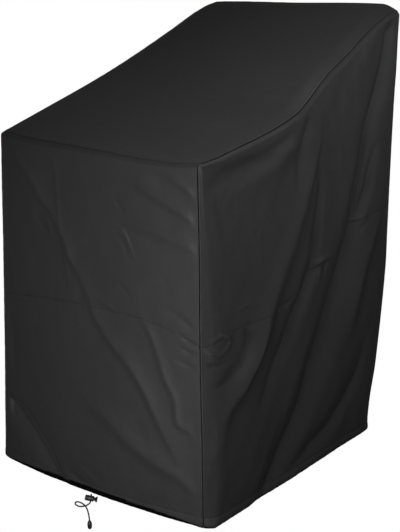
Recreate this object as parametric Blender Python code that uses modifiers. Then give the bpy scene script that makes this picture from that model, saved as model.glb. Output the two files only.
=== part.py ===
"""Fitted cover for a stack of garden chairs, sewn from black coated polyester cloth.

Four walls hang from a sloping top sheet. Each wall is an upper and a lower panel joined by a
cross seam, and the hem is turned in by a drawcord, whose free end hangs from the front hem.

Places on the cover are given as (across, behind, height): across from the middle plane to the
right, behind from the front wall backwards, and height from the hem upwards, all in metres.
The cover hangs on the back of the chair, so the frame's origin lies under its top sheet there.
"""

import math
from collections import namedtuple

import bmesh
import bpy
from mathutils import Matrix, Vector

# Driving dimensions, in metres
WIDTH = 0.647
DEPTH = 0.826
CLOTH = 0.002
GAP = 0.0004
HOLD_BEHIND = 0.760
HOLD_HEIGHT = 1.1758

# Seams and turned edges
SKIRT = 0.008
SKIRT_GAP = 0.0008
RIDGE_ROUNDING = 0.0018
SEAM_STRIP = 0.004

# The turned-in hem: radius of its curl, how far round it goes on the side walls and on the
# front, and the heights of its rows
HEM_CURL = 0.018
SIDE_CURL = 0.35
FRONT_CURL = 0.9
CURL_LEVELS = (0.0, 0.003, 0.009, 0.018)

# A corner's share of the walls on both sides of it, and the faces in each of its halves. The
# flat strip at its seam takes one of those faces.
CORNER_SHARE = 0.04
HALF_CORNER_FACES = 2
STRIP_SHARE = 0.5 / HALF_CORNER_FACES

# Grids: faces across, faces from front to back, and faces up each panel
FACES_ACROSS = 18
FACES_BACK = 24
UPPER_FACES = 9
LOWER_FACES = 9
HIDDEN_UPPER_FACES = 5
HIDDEN_LOWER_FACES = 5

# Plan of the corners by height: place of the seam on the front or back wall, and the two
# half-axes of the rounding between that seam and the side wall
Corner = namedtuple("Corner", "height across behind round_across round_behind")
FRONT_RIGHT = [
    Corner(0.00, 0.327, 0.014, 0.026, 0.048),
    Corner(0.10, 0.332, 0.008, 0.023, 0.044),
    Corner(0.30, 0.331, 0.001, 0.017, 0.036),
    Corner(0.50, 0.322, 0.000, 0.015, 0.028),
    Corner(0.70, 0.313, 0.000, 0.012, 0.018),
    Corner(0.87, 0.304, -0.002, 0.010, 0.012),
]
BACK_RIGHT = [
    Corner(0.00, 0.306, 0.806, 0.020, 0.024),
    Corner(0.05, 0.306, 0.800, 0.020, 0.024),
    Corner(0.20, 0.310, 0.824, 0.018, 0.022),
    Corner(0.45, 0.314, 0.848, 0.015, 0.020),
    Corner(0.80, 0.314, 0.845, 0.013, 0.018),
    Corner(1.18, 0.310, 0.852, 0.014, 0.016),
]
FRONT_LEFT = [
    Corner(0.00, 0.325, -0.006, 0.018, 0.030),
    Corner(0.30, 0.323, -0.001, 0.013, 0.024),
    Corner(0.60, 0.318, 0.000, 0.011, 0.018),
    Corner(0.87, 0.314, 0.000, 0.009, 0.012),
]
BACK_LEFT = BACK_RIGHT

# Height of the ridge where the top sheet turns down into each wall
AcrossRow = namedtuple("AcrossRow", "across height")
BehindRow = namedtuple("BehindRow", "behind height")
FRONT_RIDGE = [
    AcrossRow(-0.318, 0.876),
    AcrossRow(-0.220, 0.865),
    AcrossRow(-0.110, 0.859),
    AcrossRow(0.050, 0.854),
    AcrossRow(0.170, 0.857),
    AcrossRow(0.311, 0.870),
]
BACK_RIDGE = [
    AcrossRow(-0.326, 1.184),
    AcrossRow(-0.308, 1.193),
    AcrossRow(-0.272, 1.203),
    AcrossRow(0.000, 1.205),
    AcrossRow(0.272, 1.205),
    AcrossRow(0.308, 1.193),
    AcrossRow(0.326, 1.182),
]
RIGHT_RIDGE = [
    BehindRow(0.000, 0.870),
    BehindRow(0.060, 0.879),
    BehindRow(0.190, 0.895),
    BehindRow(0.320, 0.920),
    BehindRow(0.385, 0.945),
    BehindRow(0.450, 0.991),
    BehindRow(0.540, 1.056),
    BehindRow(0.620, 1.097),
    BehindRow(0.700, 1.134),
    BehindRow(0.790, 1.175),
    BehindRow(0.840, 1.182),
]
LEFT_RIDGE = [
    BehindRow(0.000, 0.876),
    BehindRow(0.170, 0.932),
    BehindRow(0.320, 0.982),
    BehindRow(0.490, 1.046),
    BehindRow(0.660, 1.117),
    BehindRow(0.790, 1.176),
    BehindRow(0.840, 1.184),
]

# Height of the cross seam between the upper and the lower panels
FRONT_CROSS_SEAM = [
    AcrossRow(-0.323, 0.462),
    AcrossRow(-0.120, 0.478),
    AcrossRow(0.060, 0.484),
    AcrossRow(0.200, 0.477),
    AcrossRow(0.330, 0.448),
]
RIGHT_CROSS_SEAM = [
    BehindRow(0.000, 0.448),
    BehindRow(0.080, 0.464),
    BehindRow(0.220, 0.472),
    BehindRow(0.340, 0.492),
    BehindRow(0.410, 0.536),
    BehindRow(0.520, 0.562),
    BehindRow(0.650, 0.634),
    BehindRow(0.826, 0.656),
]
LEFT_CROSS_SEAM = [
    BehindRow(0.000, 0.462),
    BehindRow(0.200, 0.476),
    BehindRow(0.450, 0.545),
    BehindRow(0.826, 0.656),
]
BACK_CROSS_SEAM_HEIGHT = 0.656
CROSS_SEAM_LEVEL = 0.500

# Outward swell of the front wall, strongest at the hem left of the middle, where the hem also
# droops
HEM_DROOP = 0.012
FRONT_SWELL = 0.017
FRONT_SWELL_TOP = 0.55
SWELL_LEAN = 0.75

# Folds, as inward troughs (depth above 0) and outward ridges (below 0). Along is across on the
# front and back walls and behind on the side walls.
Crease = namedtuple("Crease", "along height depth width")
FRONT_FOLDS = [
    [
        Crease(-0.285, 0.840, 0.000, 0.020),
        Crease(-0.200, 0.740, -0.004, 0.024),
        Crease(-0.125, 0.640, -0.005, 0.026),
        Crease(-0.045, 0.510, -0.006, 0.028),
        Crease(0.030, 0.405, -0.008, 0.030),
        Crease(0.135, 0.295, -0.008, 0.030),
        Crease(0.190, 0.225, -0.005, 0.028),
        Crease(0.250, 0.144, 0.000, 0.026),
    ],
    [
        Crease(-0.010, 0.220, 0.000, 0.032),
        Crease(0.050, 0.175, -0.006, 0.034),
        Crease(0.170, 0.137, -0.007, 0.034),
        Crease(0.300, 0.096, -0.001, 0.028),
    ],
    [
        Crease(-0.318, 0.175, 0.004, 0.024),
        Crease(-0.250, 0.138, 0.012, 0.030),
        Crease(-0.198, 0.078, 0.014, 0.032),
        Crease(-0.135, 0.012, 0.006, 0.028),
    ],
    [
        Crease(0.140, 0.478, 0.000, 0.018),
        Crease(0.180, 0.418, -0.005, 0.022),
        Crease(0.220, 0.330, -0.006, 0.024),
        Crease(0.290, 0.225, 0.000, 0.020),
    ],
]
RIGHT_FOLDS = [
    [
        Crease(0.779, 1.150, 0.004, 0.022),
        Crease(0.743, 1.033, 0.016, 0.026),
        Crease(0.691, 0.871, 0.022, 0.030),
        Crease(0.617, 0.667, 0.025, 0.032),
        Crease(0.561, 0.496, 0.026, 0.034),
        Crease(0.473, 0.335, 0.022, 0.038),
        Crease(0.384, 0.190, 0.018, 0.040),
        Crease(0.298, 0.089, 0.013, 0.040),
        Crease(0.220, 0.000, 0.008, 0.040),
    ],
    [
        Crease(0.485, 0.830, 0.000, 0.026),
        Crease(0.465, 0.730, 0.007, 0.028),
        Crease(0.412, 0.543, 0.012, 0.028),
        Crease(0.346, 0.435, 0.013, 0.030),
        Crease(0.290, 0.330, 0.010, 0.032),
        Crease(0.210, 0.210, 0.000, 0.034),
    ],
    [
        Crease(0.384, 0.915, 0.000, 0.022),
        Crease(0.395, 0.790, -0.008, 0.030),
        Crease(0.359, 0.655, -0.009, 0.034),
        Crease(0.285, 0.500, -0.010, 0.036),
        Crease(0.233, 0.370, -0.010, 0.036),
        Crease(0.150, 0.290, -0.004, 0.034),
    ],
    [
        Crease(0.728, 0.260, 0.000, 0.030),
        Crease(0.677, 0.199, 0.008, 0.032),
        Crease(0.578, 0.117, 0.010, 0.034),
        Crease(0.480, 0.050, 0.006, 0.034),
    ],
]
LEFT_FOLDS = [
    [
        Crease(0.770, 1.130, 0.002, 0.024),
        Crease(0.690, 0.870, 0.013, 0.034),
        Crease(0.600, 0.620, 0.015, 0.036),
        Crease(0.480, 0.360, 0.013, 0.040),
        Crease(0.350, 0.130, 0.008, 0.042),
    ],
    [
        Crease(0.420, 0.800, 0.000, 0.034),
        Crease(0.350, 0.560, 0.008, 0.036),
        Crease(0.250, 0.330, 0.008, 0.038),
        Crease(0.180, 0.200, 0.000, 0.038),
    ],
]
BACK_FOLDS = [
    [
        Crease(-0.190, 0.950, 0.000, 0.040),
        Crease(-0.150, 0.500, 0.007, 0.045),
        Crease(-0.120, 0.080, 0.010, 0.050),
    ],
    [
        Crease(0.130, 0.900, 0.000, 0.040),
        Crease(0.160, 0.450, 0.008, 0.045),
        Crease(0.190, 0.060, 0.011, 0.050),
    ],
]
FOLD_CLEARANCE = 0.030

# Drawcord: diameter, spacing of its points, steps that its curve is measured in, and its route
# from under the hem through the lock and round one small curl to the cord end
CORD_DIAMETER = 0.003
CORD_SPACING = 0.0065
PATH_STEPS = 24
LOCK_TURN = math.radians(30.0)
LOCK_TIP = math.radians(7.0)
CORD_HOLE_PLACE = (-0.0185, -0.0048, -0.0235)
CORD_EXIT = (-0.0172, -0.0041, -0.0116)
LOCK_GUIDES = (0.0085, 0.0, -0.0085, -0.0105)
ROUTE_BELOW_LOCK = [
    (-0.0222, -0.0064, -0.0382),
    (-0.0264, -0.0088, -0.0425),
    (-0.0308, -0.0135, -0.0449),
    (-0.0355, -0.0190, -0.0458),
    (-0.0425, -0.0225, -0.0463),
    (-0.0515, -0.0225, -0.0464),
    (-0.0600, -0.0190, -0.0458),
    (-0.0638, -0.0120, -0.0452),
    (-0.0605, -0.0052, -0.0466),
    (-0.0525, -0.0020, -0.0492),
    (-0.0420, -0.0020, -0.0524),
    (-0.0345, -0.0035, -0.0568),
    (-0.0286, -0.0050, -0.0645),
    (-0.0249, -0.0058, -0.0741),
    (-0.0230, -0.0060, -0.0840),
    (-0.0226, -0.0060, -0.0920),
]

# Cord lock: a barrel with a blind bore, and a sprung plunger that is pressed into it
BARREL_LENGTH = 0.022
BARREL_RADIUS = 0.0072
BARREL_BORE_RADIUS = 0.0048
BARREL_FLOOR = 0.002
BARREL_EDGE = 0.0008
HOLE_OFFSET = 0.0035
HOLE_RADIUS = 0.0021
PLUNGER_TRAVEL = 0.004
STEM_RADIUS = 0.0043
STEM_LENGTH = 0.014
NECK_LENGTH = 0.0045
HEAD_LENGTH = 0.0042
HEAD_RADIUS = 0.0074
HEAD_NECK_RADIUS = 0.0052
HEAD_FLARE_SHARE = 0.7
TURNED_STEPS = 20
HOLE_STEPS = 12
CUTTER_REACH = 0.022
MERGE_DISTANCE = 0.00001

# Cord end: an oval bead with a socket
BEAD_LENGTH = 0.023
BEAD_RADIUS = 0.006
BEAD_FULLNESS = 0.7
BEAD_COLLAR_RADIUS = 0.0032
SOCKET_RADIUS = 0.0019
SOCKET_DEPTH = 0.006
BEAD_STEPS = 16
BEAD_RINGS = 8
CORD_END_PARTING = 0.0005

# Finishes
Finish = namedtuple("Finish", "colour roughness")
COATED_CLOTH = Finish((0.020, 0.020, 0.022, 1.0), 0.55)
BRAIDED_CORD = Finish((0.010, 0.010, 0.010, 1.0), 0.70)
MOULDED_PLASTIC = Finish((0.012, 0.012, 0.013, 1.0), 0.40)

WALLS = ("front", "right", "back", "left")
RIDGES = {"front": FRONT_RIDGE, "right": RIGHT_RIDGE, "back": BACK_RIDGE, "left": LEFT_RIDGE}
CROSS_SEAMS = {"front": FRONT_CROSS_SEAM, "right": RIGHT_CROSS_SEAM, "left": LEFT_CROSS_SEAM}
FOLDS = {"front": FRONT_FOLDS, "right": RIGHT_FOLDS, "back": BACK_FOLDS, "left": LEFT_FOLDS}


# Reading the tables ------------------------------------------------------------------------

def mix(first, second, share):
    """Value at a share of the way from the first number to the second."""
    return first + (second - first) * share


def ease(share):
    """Soft step from 0 to 1."""
    share = min(max(share, 0.0), 1.0)
    return share * share * (3.0 - 2.0 * share)


def slope_at(rows, index, column):
    """Slope of a table's column at one row, from the rows beside it."""
    before = rows[max(index - 1, 0)]
    after = rows[min(index + 1, len(rows) - 1)]
    return (after[column] - before[column]) / (after[0] - before[0])


def read(rows, place):
    """All columns of a table at a place along its first column, on smooth curves."""
    place = min(max(place, rows[0][0]), rows[-1][0])
    index = 0
    while index < len(rows) - 2 and rows[index + 1][0] < place:
        index += 1
    low, high = rows[index], rows[index + 1]
    run = high[0] - low[0]
    t = (place - low[0]) / run
    values = [place]
    for column in range(1, len(low)):
        value = (2 * t ** 3 - 3 * t ** 2 + 1) * low[column]
        value += (t ** 3 - 2 * t ** 2 + t) * run * slope_at(rows, index, column)
        value += (3 * t ** 2 - 2 * t ** 3) * high[column]
        value += (t ** 3 - t ** 2) * run * slope_at(rows, index + 1, column)
        values.append(value)
    return type(low)(*values)


# The cover's surface -----------------------------------------------------------------------
# A place round the walls is a number from 0 to 4: whole numbers are the corners, starting at
# the front left, and the walls lie between them in the order of WALLS.

CORNERS = (
    (FRONT_LEFT, -1, 1, False),
    (FRONT_RIGHT, 1, 1, True),
    (BACK_RIGHT, 1, -1, False),
    (BACK_LEFT, -1, -1, True),
)


def corner_plan(number, share, height):
    """Plan place and outward normal at a share of the way round a corner."""
    table, side, inward, seam_first = CORNERS[number % 4]
    corner = read(table, height)
    from_seam = share if seam_first else 1.0 - share
    flat = SEAM_STRIP * min(from_seam / STRIP_SHARE, 1.0)
    turn = max(from_seam - STRIP_SHARE, 0.0) / (1.0 - STRIP_SHARE) * math.pi / 2
    across = side * (corner.across + flat + corner.round_across * math.sin(turn))
    behind = corner.behind + inward * corner.round_behind * (1.0 - math.cos(turn))
    normal = Vector((side * math.sin(turn), -inward * math.cos(turn)))
    return Vector((across, behind)), normal


def wall_plan(around, height):
    """Plan place and outward normal of the plain wall, without folds."""
    number = int(around) % 4
    share = around - int(around)
    if share < CORNER_SHARE:
        return corner_plan(number, 0.5 + 0.5 * share / CORNER_SHARE, height)
    if share > 1.0 - CORNER_SHARE:
        return corner_plan(number + 1, 0.5 - 0.5 * (1.0 - share) / CORNER_SHARE, height)
    start = corner_plan(number, 1.0, height)[0]
    end, normal = corner_plan(number + 1, 0.0, height)
    run = (share - CORNER_SHARE) / (1.0 - 2.0 * CORNER_SHARE)
    plan = start.lerp(end, run)
    if WALLS[number] == "front":
        plan += normal * front_swell(run, height)
    return plan, normal


def front_swell(run, height):
    """How far the front wall swells outward."""
    low = ease(1.0 - height / FRONT_SWELL_TOP)
    return FRONT_SWELL * low * math.sin(math.pi * run ** SWELL_LEAN)


def wall_name(around):
    """The wall at a place round the walls."""
    return WALLS[int(around) % 4]


def along_wall(around, height):
    """The coordinate that a wall's tables are read by: across, or behind on the side walls."""
    plan = wall_plan(around, height)[0]
    return plan.x if wall_name(around) in ("front", "back") else plan.y


def ridge_height(around):
    """Height of the ridge over a place round the walls."""
    ridge = RIDGES[wall_name(around)]
    return read(ridge, along_wall(around, ridge[-1].height)).height


def cross_seam_height(around):
    """Height of the cross seam at a place round the walls."""
    wall = wall_name(around)
    if wall == "back":
        return BACK_CROSS_SEAM_HEIGHT
    return read(CROSS_SEAMS[wall], along_wall(around, CROSS_SEAM_LEVEL)).height


def crease_offset(crease_rows, along, height):
    """Inward offset that one fold gives a point of its wall."""
    nearest = None
    for first, second in zip(crease_rows, crease_rows[1:]):
        run = Vector((second.along - first.along, second.height - first.height))
        reach = Vector((along - first.along, height - first.height))
        share = min(max(reach.dot(run) / run.length_squared, 0.0), 1.0)
        distance = (reach - run * share).length
        if nearest is None or distance < nearest[0]:
            depth = mix(first.depth, second.depth, share)
            width = mix(first.width, second.width, share)
            nearest = (distance, depth, width)
    distance, depth, width = nearest
    return depth * math.exp(-(distance / width) ** 2)


def fold_offset(around, height):
    """Inward offset of all folds of a wall, faded out at its ridge and at its corners."""
    wall = wall_name(around)
    along = along_wall(around, height)
    offset = 0.0
    for crease_rows in FOLDS[wall]:
        offset += crease_offset(crease_rows, along, height)
    share = around - int(around)
    to_corner = min(share, 1.0 - share) - CORNER_SHARE
    run = WIDTH if wall in ("front", "back") else DEPTH
    offset *= ease(to_corner * run / FOLD_CLEARANCE)
    return offset * ease((ridge_height(around) - SKIRT - height) / FOLD_CLEARANCE)


def hem_height(around):
    """Height of the hem, which droops in the middle of the front."""
    if wall_name(around) != "front":
        return 0.0
    return -HEM_DROOP * math.sin(math.pi * (around - int(around)))


def hem_offset(around, height):
    """How far the turned-in hem lies inside the wall."""
    rise = min(max(height - hem_height(around), 0.0), HEM_CURL)
    strength = SIDE_CURL
    if wall_name(around) == "front":
        strength = mix(SIDE_CURL, FRONT_CURL, math.sin(math.pi * (around - int(around))))
    return strength * (HEM_CURL - math.sqrt(HEM_CURL ** 2 - (HEM_CURL - rise) ** 2))


def wall_point(around, height):
    """A point of the finished wall."""
    plan, normal = wall_plan(around, height)
    inward = fold_offset(around, height) + hem_offset(around, height)
    plan -= normal * inward
    return Vector((plan.x, plan.y, height))


def ridge_point(around):
    """A point of the ridge."""
    return wall_point(around, ridge_height(around))


def top_point(p, q):
    """A point of the top sheet, stretched between its four ridges; p runs right, q back."""
    front, back = ridge_point(p), ridge_point(3.0 - p)
    left, right = ridge_point((4.0 - q) % 4), ridge_point(1.0 + q)
    sheet = front.lerp(back, q) + left.lerp(right, p)
    near = ridge_point(0.0).lerp(ridge_point(1.0), p)
    far = ridge_point(3.0).lerp(ridge_point(2.0), p)
    point = sheet - near.lerp(far, q)
    if p in (0.0, 1.0) or q in (0.0, 1.0):
        point.z -= RIDGE_ROUNDING
    return point


# Building the pieces -----------------------------------------------------------------------

def new_collection(name):
    """A collection linked to the scene."""
    collection = bpy.data.collections.new(name)
    bpy.context.scene.collection.children.link(collection)
    return collection


def piece_material(name, finish):
    """A plain material for one piece."""
    material = bpy.data.materials.new(name)
    material.use_nodes = True
    shader = material.node_tree.nodes["Principled BSDF"]
    shader.inputs["Base Color"].default_value = finish.colour
    shader.inputs["Roughness"].default_value = finish.roughness
    return material


def add_piece(name, form, finish):
    """An object for one piece, in the cover's collection and frame."""
    piece = bpy.data.objects.new(name, form)
    form.materials.append(piece_material(name, finish))
    cover_collection.objects.link(piece)
    piece.parent = hem_frame
    return piece


def even_steps(start, end, count):
    """Places from start to end with count equal steps."""
    return [mix(start, end, step / count) for step in range(count + 1)]


def bent_grid(columns, rows, place):
    """A flat grid whose points are moved to place(column value, row value)."""
    grid = bmesh.new()
    bmesh.ops.create_grid(grid, x_segments=len(columns) - 1, y_segments=len(rows) - 1, size=0.5)
    for face in grid.faces:
        face.smooth = True
    for vertex in grid.verts:
        column = columns[round((vertex.co.x + 0.5) * (len(columns) - 1))]
        row = rows[round((vertex.co.y + 0.5) * (len(rows) - 1))]
        vertex.co = place(column, row)
    return grid


def add_cloth(name, grid):
    """A piece of cloth: an open sheet, thickened inward."""
    mesh = bpy.data.meshes.new(name)
    for edge in grid.edges:
        edge.smooth = not edge.is_boundary
    grid.to_mesh(mesh)
    grid.free()
    piece = add_piece(name, mesh, COATED_CLOTH)
    thickness = piece.modifiers.new("Cloth", "SOLIDIFY")
    thickness.thickness = CLOTH
    thickness.offset = -1.0
    thickness.use_even_offset = True
    return piece


def steps_along(faces, corner_reach):
    """Shares of a wall's run, with corner steps that reach in from, or past, both its ends."""
    steps = even_steps(CORNER_SHARE, 1.0 - CORNER_SHARE, faces)
    reach = CORNER_SHARE / HALF_CORNER_FACES
    for number in range(1, corner_reach * HALF_CORNER_FACES + 1):
        steps = [CORNER_SHARE - number * reach] + steps + [1.0 - CORNER_SHARE + number * reach]
    return steps


def wall_panel(name, columns, levels, level_height):
    """One panel of a wall; level_height turns a column and a level into a height."""
    first, last = columns[0], columns[-1]

    def place(around, level):
        point = wall_point(around, level_height(around, level))
        if around in (first, last):
            inward = columns[1] if around == first else columns[-2]
            towards = wall_point(inward, level_height(around, level)) - point
            point += towards.normalized() * GAP / 2
        return point

    return add_cloth(name, bent_grid(columns, levels, place))


def lower_height(around, level):
    """Height in a lower panel: the turned hem first, then even steps to the cross seam."""
    top_of_curl = hem_height(around) + HEM_CURL
    if level <= 0.0:
        return top_of_curl + level
    return mix(top_of_curl, cross_seam_height(around) - GAP / 2, level)


def upper_height(around, level):
    """Height in an upper panel, from the cross seam to the top sheet's skirt."""
    bottom = cross_seam_height(around) + GAP / 2
    return mix(bottom, ridge_height(around) - SKIRT - SKIRT_GAP, level)


def build_walls():
    """The eight wall panels."""
    for number, wall in enumerate(WALLS):
        hidden = wall in ("left", "back")
        if wall in ("front", "back"):
            shares = steps_along(FACES_ACROSS, 0)
        else:
            shares = steps_along(FACES_BACK, 2)
        columns = [(number + share) % 4 for share in shares]
        lower_faces = HIDDEN_LOWER_FACES if hidden else LOWER_FACES
        upper_faces = HIDDEN_UPPER_FACES if hidden else UPPER_FACES
        hem_levels = [level - HEM_CURL for level in CURL_LEVELS[:-1]]
        lower_levels = hem_levels + even_steps(0.0, 1.0, lower_faces)
        upper_levels = even_steps(0.0, 1.0, upper_faces)
        name = wall if wall in ("front", "back") else "side_" + wall
        wall_panel(name + "_lower", columns, lower_levels, lower_height)
        wall_panel(name + "_upper", columns, upper_levels, upper_height)


def flat_place(p, q):
    """Place of a point of the top sheet's grid before it is shaped."""
    return Vector((p, q, 0.0))


def build_top():
    """The top sheet, with a short skirt that turns down over the walls."""
    grid = bent_grid(steps_along(FACES_ACROSS, 1), steps_along(FACES_BACK, 1), flat_place)
    around_layer = grid.verts.layers.float.new("around")
    for vertex in grid.verts:
        p, q = vertex.co.xy
        vertex.co = top_point(p, q)
        vertex[around_layer] = place_on_edge(p, q)
    edges = [edge for edge in grid.edges if edge.is_boundary]
    added = bmesh.ops.extrude_edge_only(grid, edges=edges)["geom"]
    for vertex in added:
        if isinstance(vertex, bmesh.types.BMVert):
            around = vertex[around_layer]
            vertex.co = wall_point(around, ridge_height(around) - SKIRT)
    grid.verts.layers.float.remove(around_layer)
    bmesh.ops.recalc_face_normals(grid, faces=grid.faces)
    return add_cloth("top_panel", grid)


def place_on_edge(p, q):
    """Place round the walls of a point on the edge of the top sheet."""
    if q == 0.0:
        return p
    if p == 1.0:
        return 1.0 + q
    if q == 1.0:
        return 3.0 - p
    if p == 0.0:
        return 4.0 - q
    return 0.0


# Drawcord, cord lock and cord end ----------------------------------------------------------

def lock_matrix():
    """Frame of the cord lock at its cord hole: Z along the barrel, X along the cord."""
    turn = Matrix.Rotation(LOCK_TURN, 4, "Z")
    tip = Matrix.Rotation(LOCK_TIP + math.pi / 2, 4, "Y")
    return Matrix.Translation(CORD_HOLE_PLACE) @ turn @ tip


def cord_route():
    """The cord's own points, from the hem to the cord end."""
    frame = lock_matrix()
    through = [frame @ Vector((-reach, 0.0, 0.0)) for reach in LOCK_GUIDES]
    below = [Vector(point) for point in ROUTE_BELOW_LOCK]
    return [Vector(CORD_EXIT)] + through + below


def smooth_path(points, spacing):
    """Points at an even spacing on a smooth curve through the given points."""
    fine = []
    ends = [points[0] * 2 - points[1]] + points + [points[-1] * 2 - points[-2]]
    for a, b, c, d in zip(ends, ends[1:], ends[2:], ends[3:]):
        for step in range(PATH_STEPS):
            t = step / PATH_STEPS
            rise = (c - a) * t + (a * 2 - b * 5 + c * 4 - d) * t ** 2
            rise += (b * 3 - a - c * 3 + d) * t ** 3
            fine.append(b + rise / 2)
    fine.append(points[-1])
    lengths = [(after - before).length for before, after in zip(fine, fine[1:])]
    count = round(sum(lengths) / spacing)
    step_length = sum(lengths) / count
    path, walked = [fine[0]], 0.0
    for point, length in zip(fine[1:], lengths):
        walked += length
        if walked >= step_length * len(path) - 1e-9 and len(path) < count:
            path.append(point)
    return path + [fine[-1]]


def build_drawcord():
    """The free end of the drawcord, as one tube."""
    path = smooth_path(cord_route(), CORD_SPACING)
    curve = bpy.data.curves.new("drawcord", "CURVE")
    curve.dimensions = "3D"
    spline = curve.splines.new("POLY")
    spline.points.add(len(path) - 1)
    for point, place in zip(spline.points, path):
        point.co = (*place, 1.0)
    curve.bevel_depth = CORD_DIAMETER / 2
    curve.bevel_resolution = 2
    curve.use_fill_caps = True
    return add_piece("drawcord", curve, BRAIDED_CORD)


def turned_piece(name, profile, steps):
    """A profile of (radius, height) points turned about the local Z axis."""
    mesh = bpy.data.meshes.new(name)
    points = [(radius, 0.0, height) for radius, height in profile]
    edges = [(index, index + 1) for index in range(len(profile) - 1)]
    mesh.from_pydata(points, edges, [])
    piece = add_piece(name, mesh, MOULDED_PLASTIC)
    screw = piece.modifiers.new("Turn", "SCREW")
    screw.steps = steps
    screw.render_steps = steps
    screw.use_merge_vertices = True
    screw.merge_threshold = MERGE_DISTANCE
    screw.use_smooth_shade = True
    return piece


def cut(piece, cutter):
    """Cuts a piece by a closed cutter."""
    boolean = piece.modifiers.new("Cut", "BOOLEAN")
    boolean.operation = "DIFFERENCE"
    boolean.object = cutter


def add_cutter(name, form, matrix):
    """A hidden cutter made of a bmesh form."""
    mesh = bpy.data.meshes.new(name)
    form.to_mesh(mesh)
    form.free()
    cutter = bpy.data.objects.new(name, mesh)
    cutter_collection.objects.link(cutter)
    cutter.parent = hem_frame
    cutter.matrix_local = matrix
    cutter.hide_render = True
    cutter.display_type = "WIRE"
    return cutter


def build_cord_lock():
    """The barrel and the plunger, pierced for the cord."""
    frame = lock_matrix()
    back = -HOLE_OFFSET - BARREL_LENGTH / 2
    mouth = back + BARREL_LENGTH
    barrel = turned_piece("cord_lock", [
        (0.0, back + BARREL_FLOOR),
        (BARREL_BORE_RADIUS, back + BARREL_FLOOR),
        (BARREL_BORE_RADIUS, mouth),
        (BARREL_RADIUS - BARREL_EDGE, mouth),
        (BARREL_RADIUS, mouth - BARREL_EDGE),
        (BARREL_RADIUS, back + BARREL_EDGE),
        (BARREL_RADIUS - BARREL_EDGE, back),
        (0.0, back),
    ], TURNED_STEPS)
    barrel.matrix_local = frame

    neck = mouth + NECK_LENGTH
    plunger = turned_piece("lock_plunger", [
        (0.0, neck + HEAD_LENGTH),
        (HEAD_RADIUS, neck + HEAD_LENGTH),
        (HEAD_RADIUS, neck + HEAD_LENGTH * HEAD_FLARE_SHARE),
        (HEAD_NECK_RADIUS, neck),
        (STEM_RADIUS, neck),
        (STEM_RADIUS, mouth - STEM_LENGTH),
        (0.0, mouth - STEM_LENGTH),
    ], TURNED_STEPS)
    plunger.matrix_local = frame

    hole = bmesh.new()
    across_barrel = Matrix.Rotation(math.pi / 2, 4, "Y")
    bmesh.ops.create_cone(hole, cap_ends=True, segments=HOLE_STEPS, radius1=HOLE_RADIUS,
                          radius2=HOLE_RADIUS, depth=CUTTER_REACH, matrix=across_barrel)
    cut(barrel, add_cutter("cord_hole_cutter", hole, frame))

    slot = bmesh.new()
    middle = Matrix.Translation((0.0, 0.0, PLUNGER_TRAVEL / 2))
    slot_length = HOLE_RADIUS * 2 + PLUNGER_TRAVEL
    size = Matrix.Diagonal((CUTTER_REACH, HOLE_RADIUS * 2, slot_length, 1.0))
    bmesh.ops.create_cube(slot, size=1.0, matrix=middle @ size)
    cut(plunger, add_cutter("plunger_slot_cutter", slot, frame))


def build_cord_end():
    """The oval bead on the end of the cord."""
    route = cord_route()
    tip, direction = route[-1], (route[-2] - route[-1]).normalized()
    floor = -CORD_END_PARTING
    top = floor + SOCKET_DEPTH
    profile = [(0.0, floor), (SOCKET_RADIUS, floor), (SOCKET_RADIUS, top), (BEAD_COLLAR_RADIUS, top)]
    for ring in range(1, BEAD_RINGS):
        turn = math.pi * ring / BEAD_RINGS
        radius = BEAD_RADIUS * math.sin(turn) ** BEAD_FULLNESS
        profile.append((radius, top - BEAD_LENGTH * (1.0 - math.cos(turn)) / 2))
    profile.append((0.0, top - BEAD_LENGTH))
    bead = turned_piece("cord_end", profile, BEAD_STEPS)
    turn = direction.to_track_quat("Z", "Y").to_matrix().to_4x4()
    bead.matrix_local = Matrix.Translation(tip) @ turn


for old in list(bpy.data.objects):
    bpy.data.objects.remove(old, do_unlink=True)

cover_collection = new_collection("stacked_chair_cover")
cutter_collection = new_collection("cutters")
hem_frame = bpy.data.objects.new("hem_frame", None)
hem_frame.location = (0.0, -HOLD_BEHIND, -HOLD_HEIGHT)
cover_collection.objects.link(hem_frame)

build_top()
build_walls()
build_drawcord()
build_cord_lock()
build_cord_end()
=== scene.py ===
"""Looks of the stacked chair cover: creased cloth, seams, stitches, hem, drawcord and studio.

Places on the cover are given as in the part's own source: across from the middle plane to the
right, behind from the front wall backwards, and height from the hem upwards, all in metres.
"""

import math
from collections import namedtuple

import bmesh
import bpy
import numpy as np
from mathutils import Matrix, Vector


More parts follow.
